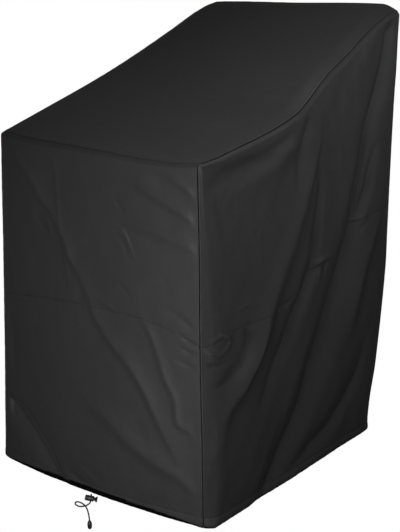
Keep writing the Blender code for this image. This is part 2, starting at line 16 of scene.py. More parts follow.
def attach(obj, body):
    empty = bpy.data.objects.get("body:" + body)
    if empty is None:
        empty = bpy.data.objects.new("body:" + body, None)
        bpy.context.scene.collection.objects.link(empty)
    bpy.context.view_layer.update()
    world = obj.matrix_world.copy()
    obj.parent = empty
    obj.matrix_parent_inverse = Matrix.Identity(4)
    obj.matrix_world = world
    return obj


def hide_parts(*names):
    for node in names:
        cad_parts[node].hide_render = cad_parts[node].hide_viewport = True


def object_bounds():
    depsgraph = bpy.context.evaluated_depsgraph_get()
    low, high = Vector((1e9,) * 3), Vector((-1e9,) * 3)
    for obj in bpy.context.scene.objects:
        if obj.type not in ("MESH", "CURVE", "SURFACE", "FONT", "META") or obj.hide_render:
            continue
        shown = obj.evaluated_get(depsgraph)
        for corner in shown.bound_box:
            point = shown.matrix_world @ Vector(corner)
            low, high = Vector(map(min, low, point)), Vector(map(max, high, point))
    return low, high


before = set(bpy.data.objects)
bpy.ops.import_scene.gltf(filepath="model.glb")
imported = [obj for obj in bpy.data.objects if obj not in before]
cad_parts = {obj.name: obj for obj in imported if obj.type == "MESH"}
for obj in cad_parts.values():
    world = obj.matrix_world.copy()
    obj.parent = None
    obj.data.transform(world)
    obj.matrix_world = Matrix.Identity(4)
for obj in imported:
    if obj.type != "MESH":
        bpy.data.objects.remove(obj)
cad_low, cad_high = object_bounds()

# Where the hem's frame lies in the part's frame
HOLD = Vector((0.0, -0.760, -1.1758))

# Camera ------------------------------------------------------------------------------------

CAMERA_PLACE = (1.7068, -2.553, 0.0231)
CAMERA_YAW = math.radians(-37.79)
CAMERA_PITCH = math.radians(13.91)
CAMERA_ROLL = math.radians(0.86)
CAMERA_LENS = 71.905


def build_camera():
    """The camera at the photograph's place."""
    yaw, pitch = CAMERA_YAW, CAMERA_PITCH
    ahead = Vector((math.sin(yaw) * math.cos(pitch), math.cos(yaw) * math.cos(pitch),
                    -math.sin(pitch)))
    level = Vector((math.cos(yaw), -math.sin(yaw), 0.0))
    upward = level.cross(ahead)
    c, s = math.cos(CAMERA_ROLL), math.sin(CAMERA_ROLL)
    right, up = c * level + s * upward, c * upward - s * level
    turn = Matrix((right, up, -ahead)).transposed().to_4x4()
    data = bpy.data.cameras.new("camera")
    data.lens, data.sensor_width, data.sensor_fit = CAMERA_LENS, 36.0, "AUTO"
    data.clip_start, data.clip_end = 0.05, 50.0
    camera = bpy.data.objects.new("camera", data)
    camera.matrix_world = Matrix.Translation(CAMERA_PLACE) @ turn
    bpy.context.scene.collection.objects.link(camera)
    bpy.context.scene.camera = camera


build_camera()

# Materials ---------------------------------------------------------------------------------


class Nodes:
    """A material's node tree, with short calls for the nodes used here."""

    def __init__(self, name, colour, roughness):
        self.material = bpy.data.materials.new(name)
        self.material.use_nodes = True
        self.tree = self.material.node_tree
        self.shader = self.tree.nodes["Principled BSDF"]
        self.shader.inputs["Base Color"].default_value = (*colour, 1.0)
        self.shader.inputs["Roughness"].default_value = roughness

    def add(self, kind, **settings):
        node = self.tree.nodes.new(kind)
        for key, value in settings.items():
            setattr(node, key, value)
        return node

    def link(self, source, target):
        self.tree.links.new(source, target)

    def drive(self, name, source):
        """The shader's own input of that name, from a socket."""
        self.link(source, self.shader.inputs[name])

    def place(self):
        """Places in the piece's own frame."""
        return self.add("ShaderNodeTexCoord").outputs["Object"]

    def cloth_map(self):
        """The two directions of the piece's map."""
        split = self.add("ShaderNodeSeparateXYZ")
        self.link(self.add("ShaderNodeUVMap", uv_map="cloth").outputs["UV"], split.inputs[0])
        return split.outputs["X"], split.outputs["Y"]

    def maths(self, operation, first, second=None, third=None):
        """A Math node; each input is a socket or a number."""
        node = self.add("ShaderNodeMath", operation=operation)
        for slot, value in enumerate((first, second, third)):
            if value is None:
                continue
            if isinstance(value, (int, float)):
                node.inputs[slot].default_value = value
            else:
                self.link(value, node.inputs[slot])
        return node.outputs[0]

    def noise(self, place, scale, detail=2.0, roughness=0.5):
        """A noise texture's value."""
        node = self.add("ShaderNodeTexNoise")
        node.inputs["Scale"].default_value = scale
        node.inputs["Detail"].default_value = detail
        node.inputs["Roughness"].default_value = roughness
        self.link(place, node.inputs["Vector"])
        return node.outputs["Fac"]

    def span(self, value, low, high, from_low=0.0, from_high=1.0):
        """A value mapped from one range to another."""
        node = self.add("ShaderNodeMapRange")
        node.inputs["From Min"].default_value = from_low
        node.inputs["From Max"].default_value = from_high
        node.inputs["To Min"].default_value = low
        node.inputs["To Max"].default_value = high
        self.link(value, node.inputs["Value"])
        return node.outputs["Result"]

    def tint(self, share, dark, light):
        """A colour between two, by a share."""
        node = self.add("ShaderNodeMix", data_type="RGBA")
        node.inputs[6].default_value = (*dark, 1.0)
        node.inputs[7].default_value = (*light, 1.0)
        self.link(share, node.inputs[0])
        return node.outputs[2]

    def bump(self, height, distance, strength=1.0, below=None):
        """A bump from a height, over another bump where one is given."""
        node = self.add("ShaderNodeBump")
        node.inputs["Strength"].default_value = strength
        node.inputs["Distance"].default_value = distance
        self.link(height, node.inputs["Height"])
        if below is not None:
            self.link(below, node.inputs["Normal"])
        return node.outputs["Normal"]


WEAVE_PITCH = 0.00085
CLOTH_DARK = (0.0195, 0.0195, 0.0205)
CLOTH_LIGHT = (0.0245, 0.0245, 0.0255)
# the near black of the painted shade
CLOTH_SHADED = (0.002, 0.002, 0.002)


def cloth_material():
    """Coated oxford cloth: a plain weave of thick yarns with a satin coat."""
    n = Nodes("coated_cloth", CLOTH_DARK, 0.5)
    place = n.place()
    warp, weft = (n.maths("MULTIPLY", way, 1.0 / WEAVE_PITCH) for way in n.cloth_map())
    # A yarn is round across its width, and passes over and under the yarns it crosses.
    across = n.maths("ABSOLUTE", n.maths("SINE", n.maths("MULTIPLY", warp, math.pi)))
    along = n.maths("ABSOLUTE", n.maths("SINE", n.maths("MULTIPLY", weft, math.pi)))
    cells = n.maths("ADD", n.maths("FLOOR", warp), n.maths("FLOOR", weft))
    over = n.maths("MODULO", n.maths("ABSOLUTE", cells), 2.0)
    under = n.maths("SUBTRACT", 1.0, over)
    yarns = n.maths("ADD", n.maths("MULTIPLY", across, over), n.maths("MULTIPLY", along, under))
    slubs = n.noise(place, 900.0, 2.0, 0.6)
    height = n.maths("ADD", n.maths("MULTIPLY", yarns, 0.75), n.maths("MULTIPLY", slubs, 0.25))
    cloudy = n.noise(place, 7.0, 4.0, 0.55)
    mottled = n.noise(place, 55.0, 3.0, 0.6)
    tone = n.maths("ADD", n.maths("MULTIPLY", cloudy, 0.45), n.maths("MULTIPLY", mottled, 0.20))
    # painted shade of the weave: the tops of the yarns lighter, the hollows between them darker
    tone = n.maths("ADD", tone, n.maths("MULTIPLY", yarns, 0.35))
    # painted shade: in the seams' grooves, along the cross seam, on the roll over the ridge and under
    # the hem the colour goes towards near black and the cloth gets rougher
    painted_shade_share = n.add("ShaderNodeAttribute", attribute_name="shade").outputs["Fac"]
    shaded = n.add("ShaderNodeMix", data_type="RGBA")
    n.link(painted_shade_share, shaded.inputs[0])
    n.link(n.tint(tone, CLOTH_DARK, CLOTH_LIGHT), shaded.inputs[6])
    shaded.inputs[7].default_value = (*CLOTH_SHADED, 1.0)
    n.drive("Base Color", shaded.outputs[2])
    rough = n.maths("ADD", n.maths("MULTIPLY", mottled, 0.5), n.maths("MULTIPLY", cloudy, 0.5))
    rough = n.span(rough, 0.50, 0.62, 0.3, 0.7)
    n.drive("Roughness", n.maths("ADD", rough, n.maths("MULTIPLY", painted_shade_share, 0.45)))
    rumple = n.noise(place, 26.0, 3.0, 0.5)
    soft = n.bump(rumple, 0.0016, 1.0)
    n.drive("Normal", n.bump(height, 0.00012, 0.55, soft))
    n.shader.inputs["Specular IOR Level"].default_value = 0.42
    n.shader.inputs["Sheen Weight"].default_value = 0.05
    n.shader.inputs["Sheen Roughness"].default_value = 0.5
    return n.material


def lining_material():
    """The cloth's inner face: the dull side of its waterproof coat."""
    n = Nodes("cloth_inner_coat", (0.012, 0.012, 0.0125), 0.8)
    place = n.place()
    film = n.noise(place, 40.0, 4.0, 0.6)
    n.drive("Base Color", n.tint(film, (0.010, 0.010, 0.0105), (0.015, 0.015, 0.0155)))
    n.drive("Roughness", n.span(film, 0.72, 0.88))
    n.drive("Normal", n.bump(n.noise(place, 700.0, 2.0), 0.00008, 0.6))
    return n.material


def painted_shade_cloth():
    """Near-black, nearly glossless cloth: painted shade under the hem and in the seams' grooves."""
    n = Nodes("cloth_painted_shade", CLOTH_SHADED, 0.9)
    place = n.place()
    n.drive("Base Color", n.tint(n.noise(place, 300.0), (0.0015, 0.0015, 0.0015), (0.003, 0.003, 0.003)))
    n.shader.inputs["Specular IOR Level"].default_value = 0.04
    return n.material


def thread_material():
    """Black sewing thread, twisted."""
    n = Nodes("sewing_thread", (0.014, 0.014, 0.015), 0.6)
    place = n.place()
    twist = n.noise(place, 2200.0, 1.0)
    n.drive("Base Color", n.tint(twist, (0.011, 0.011, 0.012), (0.020, 0.020, 0.021)))
    n.drive("Normal", n.bump(twist, 0.00006, 0.7))
    return n.material


STRANDS = 4.0
STRAND_PITCH = 0.0042


def cord_material():
    """Braided cord: two sets of strands that wind round it and cross."""
    n = Nodes("braided_cord", (0.010, 0.010, 0.010), 0.7)
    turns, length = n.cloth_map()
    round_it = n.maths("MULTIPLY", turns, STRANDS)
    along = n.maths("MULTIPLY", length, 1.0 / STRAND_PITCH)
    left = n.maths("SINE", n.maths("MULTIPLY", n.maths("ADD", round_it, along), 2 * math.pi))
    right = n.maths("SINE", n.maths("MULTIPLY", n.maths("SUBTRACT", round_it, along), 2 * math.pi))
    strands = n.maths("MAXIMUM", left, right)
    height = n.span(strands, 0.0, 1.0, -1.0, 1.0)
    # painted shade of the braid: the tops of the strands lighter, the gaps between them darker
    n.drive("Base Color", n.tint(height, (0.006, 0.006, 0.006), (0.016, 0.016, 0.016)))
    n.drive("Roughness", n.span(height, 0.80, 0.62))
    n.drive("Normal", n.bump(height, 0.00025, 0.9))
    return n.material


def plastic_material():
    """Satin black moulded plastic with a faint grain."""
    n = Nodes("moulded_plastic", (0.012, 0.012, 0.013), 0.4)
    place = n.place()
    grain = n.noise(place, 1500.0, 3.0, 0.6)
    wear = n.noise(place, 220.0, 3.0, 0.6)
    n.drive("Base Color", n.tint(wear, (0.010, 0.010, 0.011), (0.016, 0.016, 0.017)))
    n.drive("Roughness", n.span(wear, 0.30, 0.48))
    n.drive("Normal", n.bump(grain, 0.00005, 0.5))
    return n.material


CLOTH = cloth_material()
LINING = lining_material()
SHADED = painted_shade_cloth()
THREAD = thread_material()
CORD = cord_material()
PLASTIC = plastic_material()


# Making pieces -----------------------------------------------------------------------------

def mesh_of(name, points, quads, uv=None, triangles=()):
    """A smooth mesh from arrays of points and of four-cornered faces."""
    points = np.asarray(points, np.float32).reshape(-1, 3)
    quads = np.asarray(quads, np.int32).reshape(-1, 4)
    triangles = np.asarray(triangles, np.int32).reshape(-1, 3)
    mesh = bpy.data.meshes.new(name)
    corners = np.concatenate([quads.ravel(), triangles.ravel()])
    starts = np.concatenate([np.arange(len(quads)) * 4,
                             len(quads) * 4 + np.arange(len(triangles)) * 3])
    mesh.vertices.add(len(points))
    mesh.vertices.foreach_set("co", points.ravel())
    mesh.loops.add(len(corners))
    mesh.loops.foreach_set("vertex_index", corners)
    mesh.polygons.add(len(starts))
    mesh.polygons.foreach_set("loop_start", starts.astype(np.int32))
    mesh.polygons.foreach_set("use_smooth", np.ones(len(starts), bool))
    mesh.update(calc_edges=True)
    if uv is not None:
        layer = mesh.uv_layers.new(name="cloth")
        layer.data.foreach_set("uv", np.asarray(uv, np.float32).reshape(-1, 2)[corners].ravel())
    mesh.validate()
    return mesh


def add_piece(name, data, materials, body):
    """A piece of the scene, riding on a body."""
    piece = bpy.data.objects.new(name, data)
    for material in materials:
        data.materials.append(material)
    bpy.context.scene.collection.objects.link(piece)
    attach(piece, body)
    return piece


def walked(points):
    """Length along a line of points, from its start."""
    steps = np.linalg.norm(np.diff(points, axis=0), axis=1)
    return np.concatenate([[0.0], np.cumsum(steps)])


def grid_faces(rows, columns):
    """The faces of a grid of points stored row by row."""
    first = (np.arange(rows - 1)[:, None] * columns + np.arange(columns - 1)[None, :]).ravel()
    return np.stack([first, first + 1, first + columns + 1, first + columns], 1)


# Drawcord, cord lock and cord end ----------------------------------------------------------

BRAID_DIAMETER = 0.0037
CORD_SPACING = 0.0025
LOCK_TURN = math.radians(30.0)
LOCK_TIP = math.radians(7.0)
CORD_HOLE_PLACE = (-0.0185, -0.0048, -0.0235)
CORD_EXIT = (-0.0172, -0.0041, -0.0116)
LOCK_GUIDES = (0.0085, 0.0, -0.0085, -0.0105)
ROUTE_BELOW_LOCK = [
    (-0.0222, -0.0064, -0.0382), (-0.0264, -0.0088, -0.0425), (-0.0308, -0.0135, -0.0449),
    (-0.0355, -0.0190, -0.0458), (-0.0425, -0.0225, -0.0463), (-0.0515, -0.0225, -0.0464),
    (-0.0600, -0.0190, -0.0458), (-0.0638, -0.0120, -0.0452), (-0.0605, -0.0052, -0.0466),
    (-0.0525, -0.0020, -0.0492), (-0.0420, -0.0020, -0.0524), (-0.0345, -0.0035, -0.0568),
    (-0.0286, -0.0050, -0.0645), (-0.0249, -0.0058, -0.0741), (-0.0230, -0.0060, -0.0840),
    (-0.0226, -0.0060, -0.0920),
]
CORD_SIDES = 14


def lock_matrix():
    """Frame of the cord lock at its cord hole: Z along the barrel, X along the cord."""
    turn = Matrix.Rotation(LOCK_TURN, 4, "Z")
    tip = Matrix.Rotation(LOCK_TIP + math.pi / 2, 4, "Y")
    return Matrix.Translation(HOLD) @ Matrix.Translation(CORD_HOLE_PLACE) @ turn @ tip


def cord_route():
    """The cord's own points, from the hem to the cord end."""
    lock = lock_matrix()
    through = [lock @ Vector((-reach, 0.0, 0.0)) for reach in LOCK_GUIDES]
    below = [HOLD + Vector(point) for point in ROUTE_BELOW_LOCK]
    return [HOLD + Vector(CORD_EXIT)] + through + below


def smooth_path(points, spacing):
    """Points at an even spacing on a smooth curve through the given points."""
    fine = []
    ends = [points[0] * 2 - points[1]] + points + [points[-1] * 2 - points[-2]]
    for a, b, c, d in zip(ends, ends[1:], ends[2:], ends[3:]):
        for step in range(24):
            t = step / 24
            rise = (c - a) * t + (a * 2 - b * 5 + c * 4 - d) * t ** 2
            rise += (b * 3 - a - c * 3 + d) * t ** 3
            fine.append(b + rise / 2)
    fine = np.array([*fine, points[-1]])
    length = walked(fine)
    at = np.linspace(0.0, length[-1], round(length[-1] / spacing) + 1)
    return np.stack([np.interp(at, length, fine[:, axis]) for axis in range(3)], 1)


def tube(name, path, radius, sides):
    """A round tube along a path, with a map of turns round it and metres along it."""
    ahead = np.gradient(path, axis=0)
    ahead /= np.linalg.norm(ahead, axis=1)[:, None]
    side = np.cross(ahead[0], (0.0, 0.0, 1.0) if abs(ahead[0][2]) < 0.9 else (1.0, 0.0, 0.0))
    lengths = walked(path)
    points, uv = [], []
    turns = np.linspace(0.0, 2 * math.pi, sides + 1)
    for place, direction, length in zip(path, ahead, lengths):
        side = side - direction * side.dot(direction)
        side = side / np.linalg.norm(side)
        other = np.cross(direction, side)
        ring = np.cos(turns)[:, None] * side + np.sin(turns)[:, None] * other
        points.append(place + radius * ring)
        uv.append(np.stack([turns / (2 * math.pi), np.full(sides + 1, length)], 1))
    quads = grid_faces(len(path), sides + 1)
    start, end = len(path) * (sides + 1), len(path) * (sides + 1) + 1
    caps = [(start, step + 1, step) for step in range(sides)]
    last = (len(path) - 1) * (sides + 1)
    caps += [(end, last + step, last + step + 1) for step in range(sides)]
    points = np.concatenate([np.array(points).reshape(-1, 3), path[:1], path[-1:]])
    uv = np.concatenate([np.array(uv).reshape(-1, 2), [(0.5, 0.0), (0.5, lengths[-1])]])
    return mesh_of(name, points, quads, uv, caps)


def turned(name, profile, steps):
    """A profile of (radius, height) points turned about Z, both ends on the axis."""
    form = bmesh.new()
    verts = [form.verts.new((radius, 0.0, height)) for radius, height in profile]
    edges = [form.edges.new(pair) for pair in zip(verts, verts[1:])]
    bmesh.ops.spin(form, geom=verts + edges, cent=(0, 0, 0), axis=(0, 0, 1),
                   angle=2 * math.pi, steps=steps, use_merge=True)
    bmesh.ops.remove_doubles(form, verts=form.verts, dist=0.00001)
    bmesh.ops.recalc_face_normals(form, faces=form.faces)
    for face in form.faces:
        face.smooth = True
    mesh = bpy.data.meshes.new(name)
    form.to_mesh(mesh)
    form.free()
    return mesh


def pierced(piece, cutter):
    """The piece with a closed bmesh form cut out of it."""
    mesh = bpy.data.meshes.new("cutter")
    cutter.to_mesh(mesh)
    cutter.free()
    tool = bpy.data.objects.new("cutter", mesh)
    tool.matrix_world = piece.matrix_world
    bpy.context.scene.collection.objects.link(tool)
    boolean = piece.modifiers.new("Cut", "BOOLEAN")
    boolean.operation, boolean.object = "DIFFERENCE", tool
    bpy.context.view_layer.update()
    shown = piece.evaluated_get(bpy.context.evaluated_depsgraph_get())
    cut = bpy.data.meshes.new_from_object(shown)
    piece.modifiers.clear()
    piece.data = cut
    bpy.data.objects.remove(tool)
    bpy.data.meshes.remove(mesh)


def rounded(corners, radius, steps=3):
    """A profile with each inner corner rounded, except where it lies on the axis."""
    points = [Vector(corner) for corner in corners]
    profile = [tuple(points[0])]
    for before, corner, after in zip(points, points[1:], points[2:]):
        cut = min(radius, (corner - before).length * 0.45, (after - corner).length * 0.45)
        start = corner + (before - corner).normalized() * cut
        end = corner + (after - corner).normalized() * cut
        for step in range(steps + 1):
            t = step / steps
            profile.append(tuple(start.lerp(corner, t).lerp(corner.lerp(end, t), t)))
    return profile + [tuple(points[-1])]


BARREL_LENGTH = 0.022
BARREL_RADIUS = 0.0072
GROOVE_RADIUS = 0.0067
BORE_RADIUS = 0.0048
HOLE_OFFSET = 0.0035
HOLE_RADIUS = 0.0021
PLUNGER_TRAVEL = 0.004
PLUNGER_RADIUS = 0.0043
PLUNGER_DEPTH = 0.014
HEAD_RADIUS = 0.0074
HEAD_STANDS_OFF = 0.0045
CUT_THROUGH = 0.022
BEAD_RADIUS = 0.006
BEAD_LENGTH = 0.023
BEAD_TOP, BEAD_MOUTH_FLOOR = 0.0055, -0.0005
BEAD_RINGS = 24


def moulded(name, node, body, profile, steps, place, cutter=None):
    """A turned plastic piece for a node, with a closed form cut out of it where one is given."""
    piece = add_piece(name, turned(name, profile, steps), [PLASTIC], body)
    piece.matrix_world = place
    if cutter is not None:
        pierced(piece, cutter)
    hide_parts(node)
    return piece


def build_barrel(lock, back, mouth):
    """The lock's barrel: open at its mouth, with a groove near each end, and the cord's hole."""
    outer, groove, bore = BARREL_RADIUS, GROOVE_RADIUS, BORE_RADIUS
    outline = [(0.0, back + 0.002), (bore, back + 0.002), (bore, mouth), (0.0066, mouth),
               (outer, mouth - 0.0006), (outer, mouth - 0.0026), (groove, mouth - 0.0032),
               (groove, mouth - 0.0040), (outer, mouth - 0.0046), (outer, back + 0.0050),
               (groove, back + 0.0044), (groove, back + 0.0036), (outer, back + 0.0030),
               (outer, back + 0.0012), (0.0060, back), (0.0, back)]
    hole = bmesh.new()
    bmesh.ops.create_cone(hole, cap_ends=True, segments=24, radius1=HOLE_RADIUS,
                          radius2=HOLE_RADIUS, depth=CUT_THROUGH,
                          matrix=Matrix.Rotation(math.pi / 2, 4, "Y"))
    return moulded("lock_barrel", "cord_lock", "cover", rounded(outline, 0.0004), 48, lock, hole)


def build_plunger(lock, mouth):
    """The plunger with its flared head, and the slot that lets it slide past the cord."""
    neck = mouth + HEAD_STANDS_OFF
    outline = [(0.0, neck + 0.0036), (0.0030, neck + 0.0042), (HEAD_RADIUS, neck + 0.0042),
               (HEAD_RADIUS, neck + 0.0029), (0.0052, neck), (PLUNGER_RADIUS, neck - 0.0003),
               (PLUNGER_RADIUS, mouth - PLUNGER_DEPTH), (0.0, mouth - PLUNGER_DEPTH)]
    slot = bmesh.new()
    size = (CUT_THROUGH, HOLE_RADIUS * 2, HOLE_RADIUS * 2 + PLUNGER_TRAVEL, 1.0)
    middle = Matrix.Translation((0.0, 0.0, PLUNGER_TRAVEL / 2))
    bmesh.ops.create_cube(slot, size=1.0, matrix=middle @ Matrix.Diagonal(size))
    return moulded("lock_plunger_head", "lock_plunger", "plunger", rounded(outline, 0.0005), 48,
                   lock, slot)


def build_bead(tip, direction):
    """The oval cord end, with a mouth that takes the cord."""
    profile = [(0.0, BEAD_MOUTH_FLOOR), (0.0019, BEAD_MOUTH_FLOOR), (0.0019, BEAD_TOP),
               (0.0024, BEAD_TOP + 0.0003), (0.0032, BEAD_TOP - 0.0002)]
    for ring in range(2, BEAD_RINGS):
        turn = math.pi * ring / BEAD_RINGS
        radius = BEAD_RADIUS * math.sin(turn) ** 0.7
        profile.append((radius, BEAD_TOP - BEAD_LENGTH * (1.0 - math.cos(turn)) / 2))
    profile.append((0.0, BEAD_TOP - BEAD_LENGTH))
    place = Matrix.Translation(tip) @ direction.to_track_quat("Z", "Y").to_matrix().to_4x4()
    return moulded("cord_end_bead", "cord_end", "cover", profile, 40, place)


def build_cord_set():
    """The free end of the drawcord with its lock and its cord end."""
    route = cord_route()
    path = smooth_path(route, CORD_SPACING)
    braid = tube("drawcord_braid", path, BRAID_DIAMETER / 2, CORD_SIDES)
    cord = add_piece("drawcord_braid", braid, [CORD], "cover")
    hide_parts("drawcord")
    lock = lock_matrix()
    back = -HOLE_OFFSET - BARREL_LENGTH / 2
    mouth = back + BARREL_LENGTH
    barrel = build_barrel(lock, back, mouth)
    plunger = build_plunger(lock, mouth)
    bead = build_bead(route[-1], (route[-2] - route[-1]).normalized())


build_cord_set()

# The cover's plain surface, close to the one that the part's source builds -----------------

SEAM_STRIP = 0.004
HEM_CURL = 0.018
SIDE_TURN, FRONT_TURN = 0.006, 0.0125
SIDE_LEAN, FRONT_LEAN = 0.9, 1.30
HEM_SOFTNESS = 0.0011
CORNER_SHARE = 0.04
STRIP_SHARE = 0.25

FRONT_RIGHT = [
    (0.00, 0.328, 0.013, 0.025, 0.024),
    (0.03, 0.329, 0.011, 0.024, 0.036),
    (0.07, 0.330, 0.008, 0.024, 0.044),
    (0.20, 0.329, 0.004, 0.024, 0.048),
    (0.30, 0.326, 0.001, 0.022, 0.048),
    (0.50, 0.319, 0.000, 0.018, 0.042),
    (0.65, 0.315, 0.000, 0.013, 0.028),
    (0.80, 0.308, 0.000, 0.009, 0.014),
    (0.87, 0.305, -0.002, 0.009, 0.012),
]
BACK_RIGHT = [
    (0.00, 0.306, 0.806, 0.020, 0.024),
    (0.05, 0.306, 0.800, 0.020, 0.024),
    (0.20, 0.310, 0.824, 0.018, 0.022),
    (0.45, 0.314, 0.848, 0.015, 0.020),
    (0.80, 0.314, 0.845, 0.013, 0.018),
    (1.18, 0.310, 0.852, 0.014, 0.016),
]
FRONT_LEFT = [
    (0.00, 0.325, -0.006, 0.018, 0.030),
    (0.30, 0.323, -0.001, 0.013, 0.024),
    (0.60, 0.318, 0.000, 0.011, 0.018),
    (0.87, 0.314, 0.000, 0.009, 0.012),
]
FRONT_RIDGE = [
    (-0.318, 0.874), (-0.220, 0.866), (-0.110, 0.862), (0.020, 0.857), (0.120, 0.852),
    (0.200, 0.851), (0.270, 0.855), (0.311, 0.862),
]
BACK_RIDGE = [
    (-0.326, 1.178), (-0.308, 1.191), (-0.280, 1.203), (0.000, 1.205), (0.272, 1.205),
    (0.308, 1.193), (0.326, 1.182),
]
RIGHT_RIDGE = [
    (0.000, 0.861), (0.060, 0.868), (0.135, 0.882), (0.211, 0.896), (0.291, 0.914),
    (0.373, 0.939), (0.416, 0.963), (0.502, 1.024), (0.593, 1.071), (0.664, 1.112),
    (0.730, 1.146), (0.790, 1.172), (0.840, 1.182),
]
LEFT_RIDGE = [
    (0.000, 0.876), (0.170, 0.932), (0.320, 0.982), (0.490, 1.043), (0.660, 1.112),
    (0.790, 1.168), (0.840, 1.179),
]
FRONT_CROSS_SEAM = [
    (-0.323, 0.462), (-0.120, 0.478), (0.060, 0.484), (0.200, 0.477), (0.330, 0.448),
]
RIGHT_CROSS_SEAM = [
    (0.000, 0.448), (0.080, 0.464), (0.220, 0.472), (0.340, 0.492), (0.410, 0.536),
    (0.520, 0.562), (0.650, 0.634), (0.826, 0.656),
]
LEFT_CROSS_SEAM = [
    (0.000, 0.462), (0.200, 0.476), (0.450, 0.545), (0.826, 0.656),
]
BACK_CROSS_SEAM = [(-0.330, 0.656), (0.330, 0.656)]
CROSS_SEAM_LEVEL = 0.500
HEM_DROOP = 0.012
FRONT_SWELL = 0.017
FRONT_SWELL_TOP = 0.55
SWELL_LEAN = 0.75

WALLS = ("front", "right", "back", "left")
RIDGES = {"front": FRONT_RIDGE, "right": RIGHT_RIDGE, "back": BACK_RIDGE, "left": LEFT_RIDGE}
CROSS_SEAMS = {"front": FRONT_CROSS_SEAM, "right": RIGHT_CROSS_SEAM,
               "back": BACK_CROSS_SEAM, "left": LEFT_CROSS_SEAM}
CORNERS = (
    (FRONT_LEFT, -1, 1, False),
    (FRONT_RIGHT, 1, 1, True),
    (BACK_RIGHT, 1, -1, False),
    (BACK_RIGHT, -1, -1, True),
)
# Turn of the cloth along the front right corner: quick at the seam, then a nearly flat facet
FACET_PATH = (0.00, 0.10, 0.60, 0.80, 1.00)
FACET_TURN = (54.0, 57.0, 60.0, 80.0, 90.0)
FACET_TOP, FACET_FADE = 0.868, 0.03


def ease(share):
    """Soft step from 0 to 1."""
    share = np.clip(share, 0.0, 1.0)
    return share * share * (3.0 - 2.0 * share)


def blend(first, second, share):
    """What lies between two values, by a share."""
    return first + (second - first) * share


def read(rows, places):
    """The columns of a table at places along its first column, on smooth curves."""
    rows = np.asarray(rows, float)
    keys = rows[:, 0]
    places = np.clip(places, keys[0], keys[-1])
    index = np.searchsorted(keys[1:-1], places, side="left")
    before = np.maximum(np.arange(len(rows)) - 1, 0)
    after = np.minimum(np.arange(len(rows)) + 1, len(rows) - 1)
    slopes = (rows[after] - rows[before]) / (keys[after] - keys[before])[:, None]
    low, high = rows[index], rows[index + 1]
    run = (high[..., 0] - low[..., 0])[..., None]
    t = (places[..., None] - low[..., :1]) / run
    value = (2 * t ** 3 - 3 * t ** 2 + 1) * low + (t ** 3 - 2 * t ** 2 + t) * run * slopes[index]
    value += (3 * t ** 2 - 2 * t ** 3) * high + (t ** 3 - t ** 2) * run * slopes[index + 1]
    return [value[..., column] for column in range(1, rows.shape[1])]


def round_turn(share):
    """Plan run of a quarter circle: along the first wall, along the second, and its turn."""
    turn = share * math.pi / 2
    return np.sin(turn), 1.0 - np.cos(turn), np.cos(turn), np.sin(turn)


def facet_turn(share):
    """The same for a corner that is nearly flat between its two ends."""
    steps = np.linspace(0.0, 1.0, 401)
    turn = np.radians(np.interp(steps, FACET_PATH, FACET_TURN))
    smooth = np.convolve(np.pad(turn, 12, "edge"), np.ones(25) / 25, "valid")
    first, second = np.cumsum(np.cos(smooth)), np.cumsum(np.sin(smooth))
    runs = [(run - run[0]) / (run[-1] - run[0]) for run in (first, second)]
    slopes = [np.gradient(run) for run in runs]
    return [np.interp(share, steps, values) for values in (*runs, *slopes)]


def corner_plan(number, share, height):
    """Plan place and outward normal at a share of the way round a corner."""
    table, side, inward, seam_first = CORNERS[number % 4]
    across, behind, round_across, round_behind = read(table, height)
    from_seam = share if seam_first else 1.0 - share
    flat = SEAM_STRIP * np.minimum(from_seam / STRIP_SHARE, 1.0)
    share = np.maximum(from_seam - STRIP_SHARE, 0.0) / (1.0 - STRIP_SHARE)
    runs = np.array(round_turn(share))
    if table is FRONT_RIGHT:
        low = ease((FACET_TOP - height) / FACET_FADE)
        runs = blend(runs, np.array(facet_turn(from_seam)), low)
        flat = flat * (1.0 - low)
    first, second, slope_first, slope_second = runs
    place = (side * (across + flat + round_across * first),
             behind + inward * round_behind * second)
    ahead = np.stack((round_across * slope_first, round_behind * slope_second), -1)
    ahead /= np.linalg.norm(ahead, axis=-1)[..., None]
    normal = (side * ahead[..., 1], -inward * ahead[..., 0])
    return np.stack(place, -1), np.stack(normal, -1)


def wall_plan(around, height):
    """Plan place and outward normal of the plain wall."""
    around, height = np.broadcast_arrays(np.asarray(around, float), np.asarray(height, float))
    plan, normal = np.zeros(around.shape + (2,)), np.zeros(around.shape + (2,))
    whole = np.floor(around).astype(int)
    for number in range(4):
        here = whole % 4 == number
        share = around - whole
        first = here & (share < CORNER_SHARE)
        last = here & (share > 1.0 - CORNER_SHARE)
        middle = here & ~first & ~last
        turn = 0.5 + 0.5 * share[first] / CORNER_SHARE
        plan[first], normal[first] = corner_plan(number, turn, height[first])
        turn = 0.5 - 0.5 * (1.0 - share[last]) / CORNER_SHARE
        plan[last], normal[last] = corner_plan(number + 1, turn, height[last])
        if not middle.any():
            continue
        up = height[middle]
        start = corner_plan(number, np.ones(up.shape), up)[0]
        end, facing = corner_plan(number + 1, np.zeros(up.shape), up)
        run = ((share[middle] - CORNER_SHARE) / (1.0 - 2.0 * CORNER_SHARE))[:, None]
        place = start + (end - start) * run
        if WALLS[number] == "front":
            low = ease(1.0 - up / FRONT_SWELL_TOP)
            place += facing * (FRONT_SWELL * low * np.sin(math.pi * run[:, 0] ** SWELL_LEAN))[:, None]
        plan[middle], normal[middle] = place, facing
    return plan, normal


